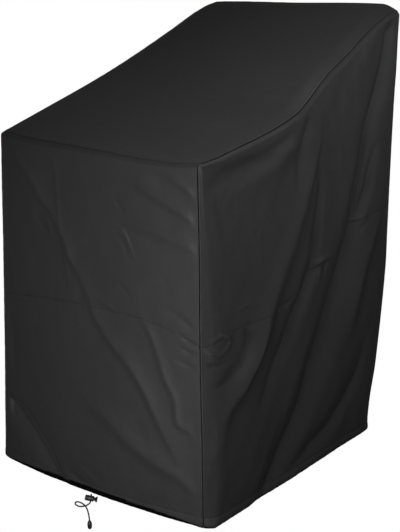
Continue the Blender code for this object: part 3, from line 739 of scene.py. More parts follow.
def read_round(tables, around, level):
    """A height read from each wall's table, by the plan at that level or at the table's last height."""
    around = np.asarray(around, float)
    value = np.zeros(around.shape)
    whole = np.floor(around).astype(int) % 4
    for number, wall in enumerate(WALLS):
        here = whole == number
        if not here.any():
            continue
        table = tables[wall]
        plan = wall_plan(around[here], table[-1][1] if level is None else level)[0]
        value[here] = read(table, plan[..., 0 if wall in ("front", "back") else 1])[0]
    return value


def ridge_height(around):
    """Height of the ridge round the walls."""
    return read_round(RIDGES, around, None)


def cross_seam_height(around):
    """Height of the cross seam round the walls."""
    return read_round(CROSS_SEAMS, around, CROSS_SEAM_LEVEL)


def on_front(around):
    """How far towards the middle of the front wall a place is, from 0 to 1."""
    share = around - np.floor(around)
    front = np.floor(around).astype(int) % 4 == 0
    return np.where(front, np.sin(math.pi * share), 0.0)


def hem_height(around):
    """Height of the hem, which droops in the middle of the front."""
    return -HEM_DROOP * on_front(around)


def hem_offset(around, rise):
    """How far the hem, drawn in by its cord, lies inside the wall, by the rise over the hem."""
    middle = on_front(around)
    turn = blend(SIDE_TURN, FRONT_TURN, middle)
    lean = blend(SIDE_LEAN, FRONT_LEAN, middle)
    return lean * HEM_SOFTNESS * np.log1p(np.exp((turn - rise) / HEM_SOFTNESS))


# Creases -----------------------------------------------------------------------------------
# A crease runs through its points. Depth is a trough above 0 and a ridge below 0. Its two widths
# are those of its flanks, before it and after it along the wall.
# Most places on the right and front walls were not typed by hand: scratch programs worked them
# out from points picked on the photograph, with a shift for the depth of the relief.


def crease(sharpness, *rows):
    """A crease from rows of (along, height, depth, width before, width after) in millimetres."""
    return sharpness, np.array(rows) / 1000


RIGHT_CREASES = [
    # the long trough from the back of the ridge down to the hem; the strip behind it leans out
    crease(0.06, (791, 1168, 7, 11, 24), (789, 1131, 13, 18, 31), (778, 1058, 17, 25, 36),
           (755, 980, 20, 29, 41), (712, 885, 23, 33, 44), (695, 806, 24, 34, 36),
           (672, 720, 24, 35, 34), (651, 636, 24, 42, 40), (623, 579, 24, 44, 55),
           (599, 528, 24, 46, 75), (547, 438, 24, 46, 80), (495, 340, 24, 46, 85),
           (442, 265, 22, 46, 85), (398, 189, 21, 46, 85), (315, 100, 17, 44, 75),
           (267, 50, 12, 42, 65), (211, -7, 7, 39, 55)),
    # the wedge-shaped hollow in the strip
    crease(0.12, (751, 841, 0, 16, 19), (749, 829, 3, 21, 22), (731, 774, 10, 27, 24),
           (719, 715, 14, 29, 22), (696, 677, 12, 24, 21), (670, 634, 5, 18, 18)),
    # crest under it that runs down from the cross seam
    crease(0.35, (786, 641, -2, 30, 20), (776, 621, -4, 36, 20), (741, 562, -7, 44, 20),
           (710, 512, -8, 48, 22), (677, 413, -6, 48, 24), (640, 320, -1, 40, 26)),
    # short trough that comes down from the kink of the ridge, the bright fan before it
    crease(0.25, (412, 935, 1, 12, 14), (410, 910, 5, 16, 18), (387, 838, 6, 22, 28),
           (377, 779, 3, 24, 30), (367, 721, 0, 22, 28)),
    # crest in the middle: it fades in down the wall and becomes the edge of the front corner
    crease(0.30, (470, 880, -1, 30, 10), (457, 832, -4, 36, 8), (419, 755, -6, 44, 20),
           (377, 682, -7, 46, 30), (354, 640, -8, 46, 34), (317, 585, -9, 46, 36),
           (263, 504, -10, 44, 34), (242, 464, -12, 44, 30), (212, 420, -20, 36, 24),
           (182, 383, -22, 39, 22), (150, 355, -22, 40, 22), (123, 325, -19, 36, 22),
           (81, 293, -10, 26, 24), (53, 249, -4, 26, 24), (44, 196, -2, 20, 22)),
    # trough behind that crest
    crease(0.12, (474, 800, 1, 16, 20), (478, 745, 6, 20, 20), (466, 665, 10, 26, 22),
           (459, 619, 12, 30, 22), (447, 557, 12, 32, 24), (386, 473, 14, 30, 22),
           (353, 434, 14, 28, 22), (321, 385, 12, 28, 24), (282, 348, 9, 28, 28),
           (254, 317, 7, 26, 30), (232, 284, 4, 26, 30), (190, 245, 0, 26, 30)),
    # hooked crease in the pouch before it
    crease(0.10, (142, 478, 0, 12, 10), (153, 455, 3, 16, 12), (163, 425, 8, 26, 14),
           (140, 388, 10, 30, 16), (100, 360, 9, 28, 16), (40, 346, 4, 18, 14)),
    # dark hollow under the ridge, and the bright fan behind it
    crease(0.6, (39, 805, 4, 20, 24), (137, 832, 7, 24, 26), (247, 854, 6, 22, 22),
           (331, 894, 2, 18, 16)),
    crease(0.6, (196, 801, -3, 30, 24), (282, 836, -5, 30, 24), (347, 866, -3, 20, 16)),
    # slight hollow beside the corner, high up
    crease(0.5, (62, 829, 2, 16, 40), (61, 779, 3, 18, 46), (79, 684, 2, 20, 40),
           (90, 600, 0, 20, 40)),
    # crumples on and over the cross seam
    crease(0.2, (542, 565, -0.8, 10, 8), (512, 565, -5, 10, 8), (478, 561, -5, 10, 8),
           (450, 551, -0.8, 10, 8)),
    crease(0.2, (483, 555, -0.6, 7, 7), (479, 537, -4, 7, 7), (475, 512, -0.6, 7, 7)),
    crease(0.2, (528, 555, -0.4, 7, 7), (514, 536, -3, 7, 7), (505, 511, -0.4, 7, 7)),
    crease(0.2, (394, 505, -0.4, 7, 7), (376, 493, -2.5, 7, 7), (340, 488, -0.4, 7, 7)),
    crease(0.2, (367, 495, 0.4, 6, 6), (331, 485, 2.5, 6, 6), (286, 487, 0.4, 6, 6)),
    crease(0.2, (709, 652, -0.6, 7, 7), (682, 642, -4, 7, 7), (635, 638, -0.6, 7, 7)),
    crease(0.2, (726, 636, 0.5, 9, 8), (700, 620, 3.5, 9, 8), (674, 608, 0.5, 9, 8)),
    crease(0.2, (222, 694, 0.2, 8, 8), (205, 685, 1.4, 8, 8), (189, 673, 0.2, 8, 8)),
    crease(0.2, (110, 797, 0.2, 8, 10), (87, 782, 1.6, 8, 10), (68, 762, 0.2, 8, 10)),
    crease(0.2, (178, 807, -0.2, 9, 10), (143, 788, -1.4, 9, 10), (127, 772, -0.2, 9, 10)),
    crease(0.2, (120, 511, -0.3, 6, 6), (152, 516, -2, 6, 6), (193, 510, -0.3, 6, 6)),
    # puckers where the cross seam meets the front seam
    crease(0.2, (3, 446, -3.4, 5, 5), (20, 435, -5.1, 6, 5), (46, 423, -1.7, 6, 5)),
    crease(0.2, (29, 462, -1.7, 5, 5), (55, 468, -5.1, 6, 5), (82, 450, -6.8, 8, 6),
           (65, 429, -3.4, 7, 5), (38, 421, -1.7, 5, 5)),
    crease(0.2, (7, 411, 3.4, 5, 6), (32, 401, 5.1, 6, 6), (62, 398, 1.7, 6, 6)),
    # low fold near the back
    crease(0.12, (735, 290, 1, 34, 34), (696, 195, 8, 40, 36), (612, 125, 11, 40, 36),
           (532, 83, 11, 36, 38), (437, 57, 8, 32, 38), (336, 17, 2, 28, 30)),
    # faint trough low on the front half of the wall
    crease(0.5, (320, 220, 0, 12, 12), (291, 144, 2, 14, 12), (243, 86, 0, 12, 12)),
]
FRONT_CREASES = [
    # long diagonal crest from the upper left corner
    crease(0.12, (-300, 862, -1.3, 5, 20), (-276, 833, -6.5, 7, 30), (-242, 791, -10.4, 9, 34),
           (-222, 776, -10.4, 9, 36), (-194, 736, -9.1, 9, 36), (-154, 698, -6.5, 9, 36),
           (-112, 641, -9.1, 11, 36), (-92, 594, -9.1, 9, 34), (-52, 546, -5, 10, 34),
           (-26, 500, -7, 8, 34), (-5, 456, -9, 8, 38), (39, 409, -11, 9, 42),
           (88, 371, -12, 10, 44), (136, 324, -12, 10, 44), (167, 282, -11, 10, 40),
           (198, 233, -7, 10, 36), (234, 183, -4, 10, 30), (262, 141, 0, 10, 24)),
    # pressed line left of the middle
    crease(0.12, (-148, 849, -0.8, 5, 10), (-131, 790, -2, 5, 12), (-125, 694, -2, 5, 12),
           (-116, 632, -2, 5, 12), (-97, 560, -1.4, 5, 12), (-92, 500, -0.6, 5, 12)),
    # short crease with a narrow crest in it
    crease(0.12, (50, 692, -1, 5, 4), (84, 686, -4, 7, 5), (104, 661, -4, 7, 5),
           (122, 628, -1, 6, 5)),
    crease(0.15, (66, 672, 1, 5, 5), (90, 654, 3, 6, 6), (106, 620, 1, 5, 5)),
    # soft crests towards the upper right seam
    crease(0.4, (90, 818, 0, 13, 14), (164, 786, -8, 14, 16), (253, 753, -9.6, 14, 14),
           (300, 731, -4.8, 12, 13)),
    crease(0.4, (150, 845, 0, 9, 11), (233, 823, -6.4, 11, 13), (303, 791, -6.4, 11, 13)),
    crease(0.4, (70, 708, 0, 11, 16), (150, 701, -6.4, 14, 18), (229, 687, -8, 16, 18),
           (299, 671, -6.4, 14, 16)),
    # crest from under the cross seam to the right seam
    crease(0.15, (130, 500, 0, 7, 18), (162, 462, -5, 9, 22), (184, 426, -7, 9, 26),
           (210, 363, -8, 10, 28), (229, 331, -8, 10, 26), (245, 305, -7, 10, 24),
           (255, 251, -5, 10, 22), (284, 240, -3, 9, 20), (311, 222, 0, 9, 18)),
    # soft fold above the hem, right of the middle
    crease(0.25, (-60, 262, 0, 18, 30), (-10, 228, -5, 20, 36), (44, 204, -9, 22, 40),
           (107, 164, -10, 22, 40), (182, 135, -9, 22, 36), (251, 115, -6, 20, 30),
           (305, 88, -1, 18, 24)),
    # trough in the lower left corner, with a steep far side
    crease(0.15, (-335, 190, 5.7, 41, 9), (-317, 179, 12.6, 48, 9), (-266, 156, 20.7, 54, 12),
           (-226, 124, 23, 54, 14), (-169, 71, 21.8, 48, 14), (-132, 29, 14.9, 41, 12),
           (-104, 2, 6.9, 34, 11)),
    # at the left seam
    crease(0.6, (-316, 400, 1, 20, 24), (-300, 328, 5, 20, 26), (-280, 250, 1, 20, 24)),
    # gathers by the cord
    crease(0.3, (-85, 34, 1, 10, 10), (-50, 20, 4, 11, 10), (-20, 12, 3, 10, 10)),
    crease(0.3, (-60, 60, 0, 9, 10), (-20, 41, -2, 10, 10), (10, 26, -1, 10, 10)),
    # crumples
    crease(0.25, (-200, 675, 1.5, 7, 8), (-180, 661, 4.5, 7, 8), (-158, 640, 1.8, 7, 8)),
    crease(0.25, (-172, 690, -1.2, 6, 7), (-158, 673, -3, 7, 7), (-150, 652, -1.2, 6, 7)),
    crease(0.25, (66, 750, 1.8, 5, 5), (79, 741, 4.5, 5, 5), (92, 728, 1.5, 5, 5)),
    crease(0.25, (82, 548, 1.5, 7, 7), (93, 542, 3, 7, 7), (108, 530, 1.2, 7, 7)),
    crease(0.25, (-11, 506, -1.5, 6, 9), (30, 499, -4.5, 7, 9), (70, 480, -1.5, 7, 9)),
    # puckers where the cross seam meets the right seam
    crease(0.2, (255, 470, 1.2, 6, 6), (286, 457, 6, 7, 6), (319, 451, 6, 7, 6)),
    crease(0.2, (262, 436, 1.2, 5, 6), (291, 429, 4.5, 7, 6), (317, 431, 4.5, 7, 6)),
    crease(0.25, (250, 408, 0.9, 6, 7), (291, 397, 4.5, 8, 7), (319, 404, 4.5, 7, 7)),
    crease(0.35, (225, 520, 0.9, 9, 10), (276, 499, 4.5, 9, 10), (315, 481, 4.5, 9, 9)),
]
LEFT_CREASES = [
    crease(0.45, (775, 1140, 2, 16, 14), (690, 870, 12, 26, 18), (600, 620, 14, 32, 20),
           (480, 360, 12, 38, 24), (350, 130, 8, 40, 30), (290, 20, 4, 36, 30)),
    crease(0.5, (430, 820, 0, 28, 24), (350, 560, 8, 34, 28), (250, 330, 8, 36, 30),
           (180, 200, 0, 34, 28)),
    crease(0.5, (300, 800, 0, 28, 24), (240, 560, -6, 34, 30), (150, 360, -4, 34, 30),
           (90, 250, 0, 30, 26)),
    crease(0.4, (700, 300, 0, 24, 20), (640, 200, 6, 28, 22), (560, 90, 6, 30, 24),
           (500, 40, 2, 26, 22)),
]
BACK_CREASES = [
    crease(0.5, (-190, 1050, 0, 30, 26), (-165, 760, 5, 34, 30), (-150, 500, 8, 38, 30),
           (-120, 80, 9, 44, 34)),
    crease(0.5, (120, 1000, 0, 28, 30), (150, 600, 6, 30, 36), (175, 300, 9, 34, 40),
           (190, 50, 10, 36, 44)),
    crease(0.5, (0, 620, 0, 24, 24), (15, 380, -5, 34, 34), (30, 80, -6, 40, 40)),
    crease(0.3, (-290, 1150, 0, 14, 12), (-220, 1090, 3, 16, 14), (-130, 1040, 0, 14, 12)),
    crease(0.3, (290, 1150, 0, 14, 12), (230, 1080, 3, 16, 14), (150, 1000, 0, 14, 12)),
]
CREASES = {"front": FRONT_CREASES, "right": RIGHT_CREASES, "back": BACK_CREASES,
           "left": LEFT_CREASES}


def crease_relief(form, along, height):
    """Inward offset that one crease gives the points of its wall."""
    sharpness, rows = form
    marks = np.arange(len(rows), dtype=float)
    fine = np.linspace(0, len(rows) - 1, 5 * (len(rows) - 1) + 1)
    keyed = np.column_stack([marks, rows])
    path = np.column_stack(read(keyed, fine))
    reach = 3.5 * rows[:, 3:].max()
    inside = ((along > path[:, 0].min() - reach) & (along < path[:, 0].max() + reach)
              & (height > path[:, 1].min() - reach) & (height < path[:, 1].max() + reach))
    a, h = along[inside], height[inside]
    best = np.full(a.shape, 1e9)
    depth, width = np.zeros(a.shape), np.ones(a.shape)
    for first, second in zip(path, path[1:]):
        run = second[:2] - first[:2]
        share = ((a - first[0]) * run[0] + (h - first[1]) * run[1]) / (run @ run)
        share = np.clip(share, 0.0, 1.0)
        da = a - first[0] - share * run[0]
        dh = h - first[1] - share * run[1]
        distance = np.hypot(da, dh)
        near = distance < best
        after = (run[0] * dh - run[1] * da) > 0
        here = first[2:] + (second[2:] - first[2:]) * share[:, None]
        best = np.where(near, distance, best)
        depth = np.where(near, here[:, 0], depth)
        width = np.where(near, np.where(after, here[:, 2], here[:, 1]), width)
    t = best / width
    fall = np.sqrt(t * t + sharpness ** 2) - sharpness
    relief = np.zeros(along.shape)
    relief[inside] = depth * np.exp(-fall * (1.0 + fall))
    return relief


def ripples(place, lengths, phase):
    """A sum of waves along a line, between -1 and 1."""
    total = sum(np.sin(2 * math.pi * place / length + phase * (index + 1.7) * 2.3)
                for index, length in enumerate(lengths))
    return total / len(lengths)


def undulation(along, height, phase):
    """Slow waves of cloth that hangs from its ridge."""
    slow = np.sin(2 * math.pi * (along / 0.31 + 0.35 * height) + phase)
    slow += np.sin(2 * math.pi * (along / 0.19 - 0.55 * height) + 2.1 * phase + 1.0)
    slow += 0.7 * np.sin(2 * math.pi * (height / 0.27 + along / 0.45) + 3.3 * phase)
    fine = np.sin(2 * math.pi * (along / 0.071 + height / 0.19) + 1.3 * phase)
    fine += np.sin(2 * math.pi * (along / 0.096 - height / 0.13) + 2.9 * phase)
    return 0.0008 * slow + 0.00022 * fine


# Sheets of cloth ---------------------------------------------------------------------------

CLOTH_THICKNESS = 0.001
NEAR_SEAM = (0.0, 0.0006, 0.0013, 0.0022, 0.0033, 0.0046, 0.0060, 0.0075, 0.0092, 0.0115, 0.0145,
             0.018)
FINE, COARSE = 0.004, 0.0085
SEAM_GROOVE = 0.0026
SEAM_DEPTH = 0.0034
STITCH_PULL = 0.0003
STITCHES_BESIDE_SEAM = 0.0066
STITCHES_ON_RIM = 0.0088
# painted shade: faces whose points all lie deeper than DEEP_SHADE take the near-black cloth; the painted
# band at the hem is HEM_EDGE high at the sides and HEM_SHADE higher at the middle of the front
DEEP_SHADE = 0.6
HEM_EDGE, HEM_SHADE = 0.005, 0.0190
CROSS_GROOVE = 0.0024
CROSS_DEPTH = 0.0009
SEAM_ALLOWANCE = 0.004
SEAM_LAP = 0.0006
HEM_BAND = 0.028
HEM_INNER = 0.026
HEM_FOLD = 0.003
RIDGE_ROLL = 0.008
RIDGE_SEAM = 0.0105
RIDGE_GROOVE = 0.0030
CURL_ROWS = np.array([0.0, 0.0004, 0.0015, 0.0035, 0.006, 0.0085, 0.0105, 0.012, 0.0135, 0.0155])
BAND_ROWS = np.array([-0.004, -0.002, 0.0, 0.002])
# painted shade on the rows that roll over the ridge to the top's seam, full on the allowance
ROLL_SHADE = np.array([0.1, 0.2, 0.3] + [0.4] * 7 + [0.45, 0.5, 0.55, 0.6, 1.0])


def ladder(length, step, start=True, end=True):
    """Distances from 0 to a length, close together near the seams at its ends."""
    first = list(NEAR_SEAM) if start else [0.0]
    last = [length - x for x in reversed(NEAR_SEAM)] if end else [length]
    room = last[0] - first[-1]
    count = max(round(room / step), 1)
    middle = [first[-1] + room * k / count for k in range(1, count)]
    return np.array(first + middle + last)


def columns_round(start, end, step, height=0.4):
    """Places round the walls between two seams, evenly spaced, closer at the seams."""
    around = np.linspace(start, end, 4001)
    length = walked(wall_plan(around, height)[0])
    return np.interp(ladder(length[-1], step), length, around)


def seam_shade(side_distance, to_cross, rise, around):
    """How much painted shade each point gets: in a seam's groove, along the cross seam, or under the
    hem.
    """
    # painted shade: strong in the upright seams' grooves, faint along the cross seam (fainter on the
    # front), full in a band at the hem that is taller towards the middle of the front
    upright = np.clip(1.0 - np.minimum(*side_distance) / SEAM_GROOVE, 0.0, 1.0) ** 0.5
    level = (0.24 - 0.14 * on_front(around)) * np.clip(1.0 - to_cross / CROSS_GROOVE, 0.0, 1.0) ** 0.5
    edge = HEM_EDGE + HEM_SHADE * on_front(around)
    under = ease((edge + 0.001 - rise) / 0.002)
    return np.maximum(np.maximum(0.8 * upright, level), under)


def seam_relief(distance, groove=SEAM_GROOVE, depth=SEAM_DEPTH):
    """Inward roll of the cloth at a seam, and its pull along the stitches beside it."""
    share = np.clip(1.0 - distance / groove, 0.0, 1.0)
    pull = STITCH_PULL * np.exp(-((distance - STITCHES_BESIDE_SEAM) / 0.0014) ** 2)
    return depth * share ** 1.4 + pull


def wall_relief(wall, around, along, height, side_distance, rise):
    """Inward offset of a wall: creases, slow waves, seams and their puckers."""
    relief = np.zeros(along.shape)
    for form in CREASES[wall]:
        relief += crease_relief(form, along, height)
    phase = 1.0 + WALLS.index(wall)
    relief += undulation(along, height, phase)
    to_ridge = ridge_height(around) - height
    fade = ease((side_distance[0] - 0.004) / 0.03) * ease((side_distance[1] - 0.004) / 0.03)
    relief *= (0.12 + 0.88 * fade) * ease((to_ridge - 0.006) / 0.035)
    relief *= 0.6 + 0.4 * ease(rise / 0.05)
    to_cross = np.abs(height - cross_seam_height(around))
    relief += 0.0007 * ripples(along, (0.019, 0.031, 0.047), phase) * np.exp(-to_cross / 0.014)
    for number, distance in enumerate(side_distance):
        wave = ripples(height, (0.023, 0.037, 0.059), phase + 2 * number)
        relief += 0.0006 * wave * np.exp(-distance / 0.013)
        relief += seam_relief(distance)
    relief += seam_relief(to_cross, CROSS_GROOVE, CROSS_DEPTH)
    # the hem's channel stands out a little, over its row of stitches
    band = 0.0007 * np.exp(-((rise - HEM_BAND) / 0.0022) ** 2)
    puff = 0.0008 * np.exp(-((rise - 0.015) / 0.009) ** 2)
    pull = 0.0007 * ripples(along, (0.017, 0.029, 0.053), 2.0 * phase) * np.exp(-rise / 0.03)
    return relief + band - puff + pull


Panel = namedtuple("Panel", "piece points side_distance rise to_cross")


def panel_heights(upper, step, seam, ridge, hem):
    """Heights of a panel's rows of points, close together at the cross seam and the hem."""
    if upper:
        length = float(np.mean(ridge - seam)) - RIDGE_ROLL
        shares = ladder(length, step, end=False) / length
        return seam + shares[:, None] * (ridge - RIDGE_ROLL - seam)
    length = float(np.mean(seam)) - HEM_CURL
    steps = ladder(length, step, start=False)
    steps = np.union1d(steps, HEM_BAND - HEM_CURL + BAND_ROWS)
    shares = steps / steps[-1]
    top = hem + HEM_CURL
    return np.concatenate([hem + CURL_ROWS[:, None], top + shares[:, None] * (seam - top)])


def finished_upper(shell, inside, heights, columns, side_distance, shade):
    """An upper panel's rows with its seam allowance below and its roll over the ridge above."""
    first = shell[:1] + inside[:1] * SEAM_ALLOWANCE - (0.0, 0.0, SEAM_LAP)
    wrap, wrap_length = ridge_wrap(columns, side_distance[0][-1:], side_distance[1][-1:])
    points = np.concatenate([first, shell, wrap])
    flat_height = np.concatenate([heights[:1] - SEAM_ALLOWANCE, heights,
                                  heights[-1:] + wrap_length[:, None]])
    # the painted shade on the roll over the ridge is lighter from about the middle of the front wall to
    # about the middle of the right one
    lighter = 0.7 * ease((1.46 - columns) / 0.1) * ease((columns - 0.3) / 0.3)
    over = ROLL_SHADE[:, None] * (1.0 - lighter)
    shade = np.concatenate([shade[:1], shade, np.maximum(over, shade[-1:])])
    return points, flat_height, shade, 1, len(wrap)


def finished_lower(shell, normal, inside, heights, rise, shade):
    """A lower panel's rows with its turned-in hem below and its seam allowance above."""
    hemmed, before = with_turned_hem(shell, normal, rise)
    last = shell[-1:] + inside[-1:] * SEAM_ALLOWANCE + (0.0, 0.0, SEAM_LAP)
    points = np.concatenate([hemmed, last])
    below = rise[:1] - 0.001 * np.arange(before, 0, -1)[:, None]
    flat_height = np.concatenate([heights[:1] + below, heights, heights[-1:] + SEAM_ALLOWANCE])
    # the turned-in layer of the hem gets full painted shade
    shade = np.concatenate([np.ones((before, heights.shape[1])), shade, shade[-1:]])
    return points, flat_height, shade, before, 1


def with_side_allowances(points, inside):
    """A panel's points with the seam allowances at its two ends, turned into the cover."""
    ends = []
    for edge, inner in ((0, 1), (-1, -2)):
        beyond = points[:, edge] - points[:, inner]
        beyond /= np.maximum(np.linalg.norm(beyond, axis=1), 1e-9)[:, None]
        ends.append(points[:, edge] + inside[:, edge] * SEAM_ALLOWANCE + beyond * SEAM_LAP)
    return np.concatenate([ends[0][:, None], points, ends[1][:, None]], 1)


def ends_repeated(values):
    """A grid of values with its first and last columns given again, for the allowances."""
    return np.concatenate([values[:, :1], values, values[:, -1:]], 1)


def wall_panel(number, upper):
    """One panel of a wall as a sheet of its own."""
    wall, level = WALLS[number], "upper" if upper else "lower"
    front_or_back = wall in ("front", "back")
    step = FINE if wall in ("front", "right") else COARSE
    reach = -CORNER_SHARE if front_or_back else CORNER_SHARE
    columns = columns_round(number - reach, number + 1 + reach, step)
    columns = np.where(columns < 0, columns + 4, columns)
    hem = hem_height(columns)
    heights = panel_heights(upper, step, cross_seam_height(columns), ridge_height(columns), hem)
    around = np.broadcast_to(columns, heights.shape)
    plan, normal = wall_plan(around, heights)
    steps = np.linalg.norm(np.diff(plan, axis=1), axis=2)
    lengths = np.concatenate([np.zeros((len(plan), 1)), np.cumsum(steps, axis=1)], 1)
    side_distance = (lengths, lengths[:, -1:] - lengths)
    along = plan[..., 0 if front_or_back else 1]
    rise = heights - hem
    inward = wall_relief(wall, around, along, heights, side_distance, rise)
    inward += hem_offset(around, rise)
    shell = np.concatenate([plan - normal * inward[..., None], heights[..., None]], 2)
    inside = -np.concatenate([normal, np.zeros(heights.shape + (1,))], 2)
    to_cross = np.abs(heights - cross_seam_height(around))
    shade = seam_shade(side_distance, to_cross, rise, around)
    if upper:
        finished = finished_upper(shell, inside, heights, columns, side_distance, shade)
    else:
        finished = finished_lower(shell, normal, inside, heights, rise, shade)
    points, flat_height, shade, before, after = finished
    lengths, inside = (np.concatenate([np.repeat(a[:1], before, 0), a, np.repeat(a[-1:], after, 0)])
                       for a in (lengths, inside))
    points = with_side_allowances(points, inside)
    lengths = np.concatenate([lengths[:, :1] - SEAM_ALLOWANCE, lengths,
                              lengths[:, -1:] + SEAM_ALLOWANCE], 1)
    uv = np.stack([lengths, ends_repeated(flat_height)], 2)
    piece = cloth_piece(f"{wall}_{level}_cloth", points, grid_faces(*points.shape[:2]), uv,
                        ends_repeated(shade))
    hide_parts(f"{wall if front_or_back else 'side_' + wall}_{level}")
    return Panel(piece, shell, side_distance, rise, to_cross)


def ridge_wrap(columns, from_start, from_end):
    """Rows of a wall's cloth that roll over the ridge to its seam on the top, and their lengths."""
    line, normal = ridge_plan(columns), ridge_normal(columns)
    slope = top_slope(columns)
    r = RIDGE_ROLL
    profile = []
    for turn in np.radians([12, 24, 36, 48, 60, 72, 82, 90]):
        profile.append((r * (1 - math.cos(turn)), r * (math.sin(turn) - 1), math.sin(turn) ** 2))
    for reach in (0.0083, 0.0088, 0.0093, 0.0098, 0.0102, RIDGE_SEAM):
        share = max(1.0 - (RIDGE_SEAM - reach) / SEAM_GROOVE, 0.0)
        profile.append((reach, -RIDGE_GROOVE * share ** 2, 1.0))
    profile.append((RIDGE_SEAM + SEAM_LAP, -RIDGE_GROOVE - SEAM_ALLOWANCE, 1.0))
    dip = seam_relief(np.minimum(from_start, from_end))[0]
    rows = []
    for reach, drop, share in profile:
        plan = line[:, :2] - normal * (reach + dip * (1.0 - share))[:, None]
        height = line[:, 2] + drop + slope * reach * share - dip * share
        rows.append(np.concatenate([plan, height[:, None]], 1))
    rows = np.array(rows)
    middle = rows[:, rows.shape[1] // 2]
    return rows, walked(middle) + 0.001


def with_turned_hem(points, normal, rise):
    """The rows of a lower panel with the hem's turned-in layer before them."""
    within = rise[:, 0] <= HEM_INNER
    outer = points[: np.count_nonzero(within)]
    up = np.gradient(outer, axis=0)
    up /= np.maximum(np.linalg.norm(up, axis=2), 1e-9)[..., None]
    inward = -np.concatenate([normal[: len(outer)], np.zeros(outer.shape[:2] + (1,))], 2)
    # the direction across the sheet, pointing into the cover
    across = inward - up * (inward * up).sum(2)[..., None]
    across /= np.maximum(np.linalg.norm(across, axis=2), 1e-9)[..., None]
    across[0] = across[1]
    layer = outer + across * HEM_FOLD
    turn = []
    centre = outer[0] + across[0] * HEM_FOLD / 2
    for angle in (135.0, 90.0, 45.0):
        c, s = math.cos(math.radians(angle)), math.sin(math.radians(angle))
        turn.append(centre + HEM_FOLD / 2 * (-c * across[0] - s * up[0]))
    inner = np.concatenate([layer[::-1][:-1], layer[:1], np.array(turn)])
    return np.concatenate([inner, points]), len(inner)


def cloth_piece(name, points, quads, uv, shade):
    """A sheet of cloth with its thickness inward, and the painted shade on each point."""
    points = np.asarray(points, float).reshape(-1, 3) + np.array(HOLD)
    mesh = mesh_of(name, points, quads, uv)
    layer = mesh.attributes.new("shade", "FLOAT", "POINT")
    layer.data.foreach_set("value", np.asarray(shade, np.float32).ravel())
    # faces deep in painted shade take the near-black cloth of painted shade
    deep = np.asarray(shade).ravel()[np.asarray(quads)].min(axis=1) > DEEP_SHADE
    mesh.polygons.foreach_set("material_index", np.where(deep, 2, 0).astype(np.int32))
    piece = add_piece(name, mesh, [CLOTH, LINING, SHADED, LINING], "cover")
    solid = piece.modifiers.new("Thickness", "SOLIDIFY")
    solid.thickness = CLOTH_THICKNESS
    solid.offset = -1.0
    solid.use_even_offset = False
    solid.material_offset = 1
    return piece


def ridge_plan(around):
    """Points of the ridge."""
    height = ridge_height(around)
    plan = wall_plan(around, height)[0]
    return np.concatenate([plan, height[..., None]], -1)


def ridge_normal(around):
    """Outward direction, in plan, of the wall at the ridge."""
    return wall_plan(around, ridge_height(around))[1]


def stretched(line, p, q):
    """Points of a sheet stretched between its four edges, given by their line round the walls."""
    front, back, left, right = line(p), line(3.0 - p), line((4.0 - q) % 4), line(1.0 + q)
    corners = line(np.array([0.0, 1.0, 3.0, 2.0]))
    P, Q = p[..., None], q[..., None]
    near, far = blend(corners[0], corners[1], P), blend(corners[2], corners[3], P)
    return blend(front, back, Q) + blend(left, right, P) - blend(near, far, Q)


def edge_place(around):
    """Share to the right and share backwards of a place on the top sheet's edge."""
    whole = np.floor(around).astype(int) % 4
    share = around - np.floor(around)
    p = np.select([whole == 0, whole == 1, whole == 2], [share, 1.0, 1.0 - share], 0.0)
    q = np.select([whole == 0, whole == 1, whole == 2], [0.0, share, 1.0], 1.0 - share)
    return p, q


def top_slope(around):
    """How steeply the top rises from the ridge inwards."""
    p, q = edge_place(around)
    p, q = np.clip(p, 0.06, 0.94), np.clip(q, 0.03, 0.97)
    step = 0.01
    right = stretched(ridge_plan, p + step, q) - stretched(ridge_plan, p - step, q)
    back = stretched(ridge_plan, p, q + step) - stretched(ridge_plan, p, q - step)
    across, behind = right[..., 2] / right[..., 0], back[..., 2] / back[..., 1]
    normal = ridge_normal(around)
    return -(normal[..., 0] * across + normal[..., 1] * behind)


def seam_line(around):
    """The seam between the walls' cloth and the top sheet, just inside the ridge."""
    around = np.asarray(around, float)
    line = ridge_plan(around)
    line[..., :2] -= ridge_normal(around) * RIDGE_SEAM
    line[..., 2] += top_slope(around) * RIDGE_SEAM
    return line


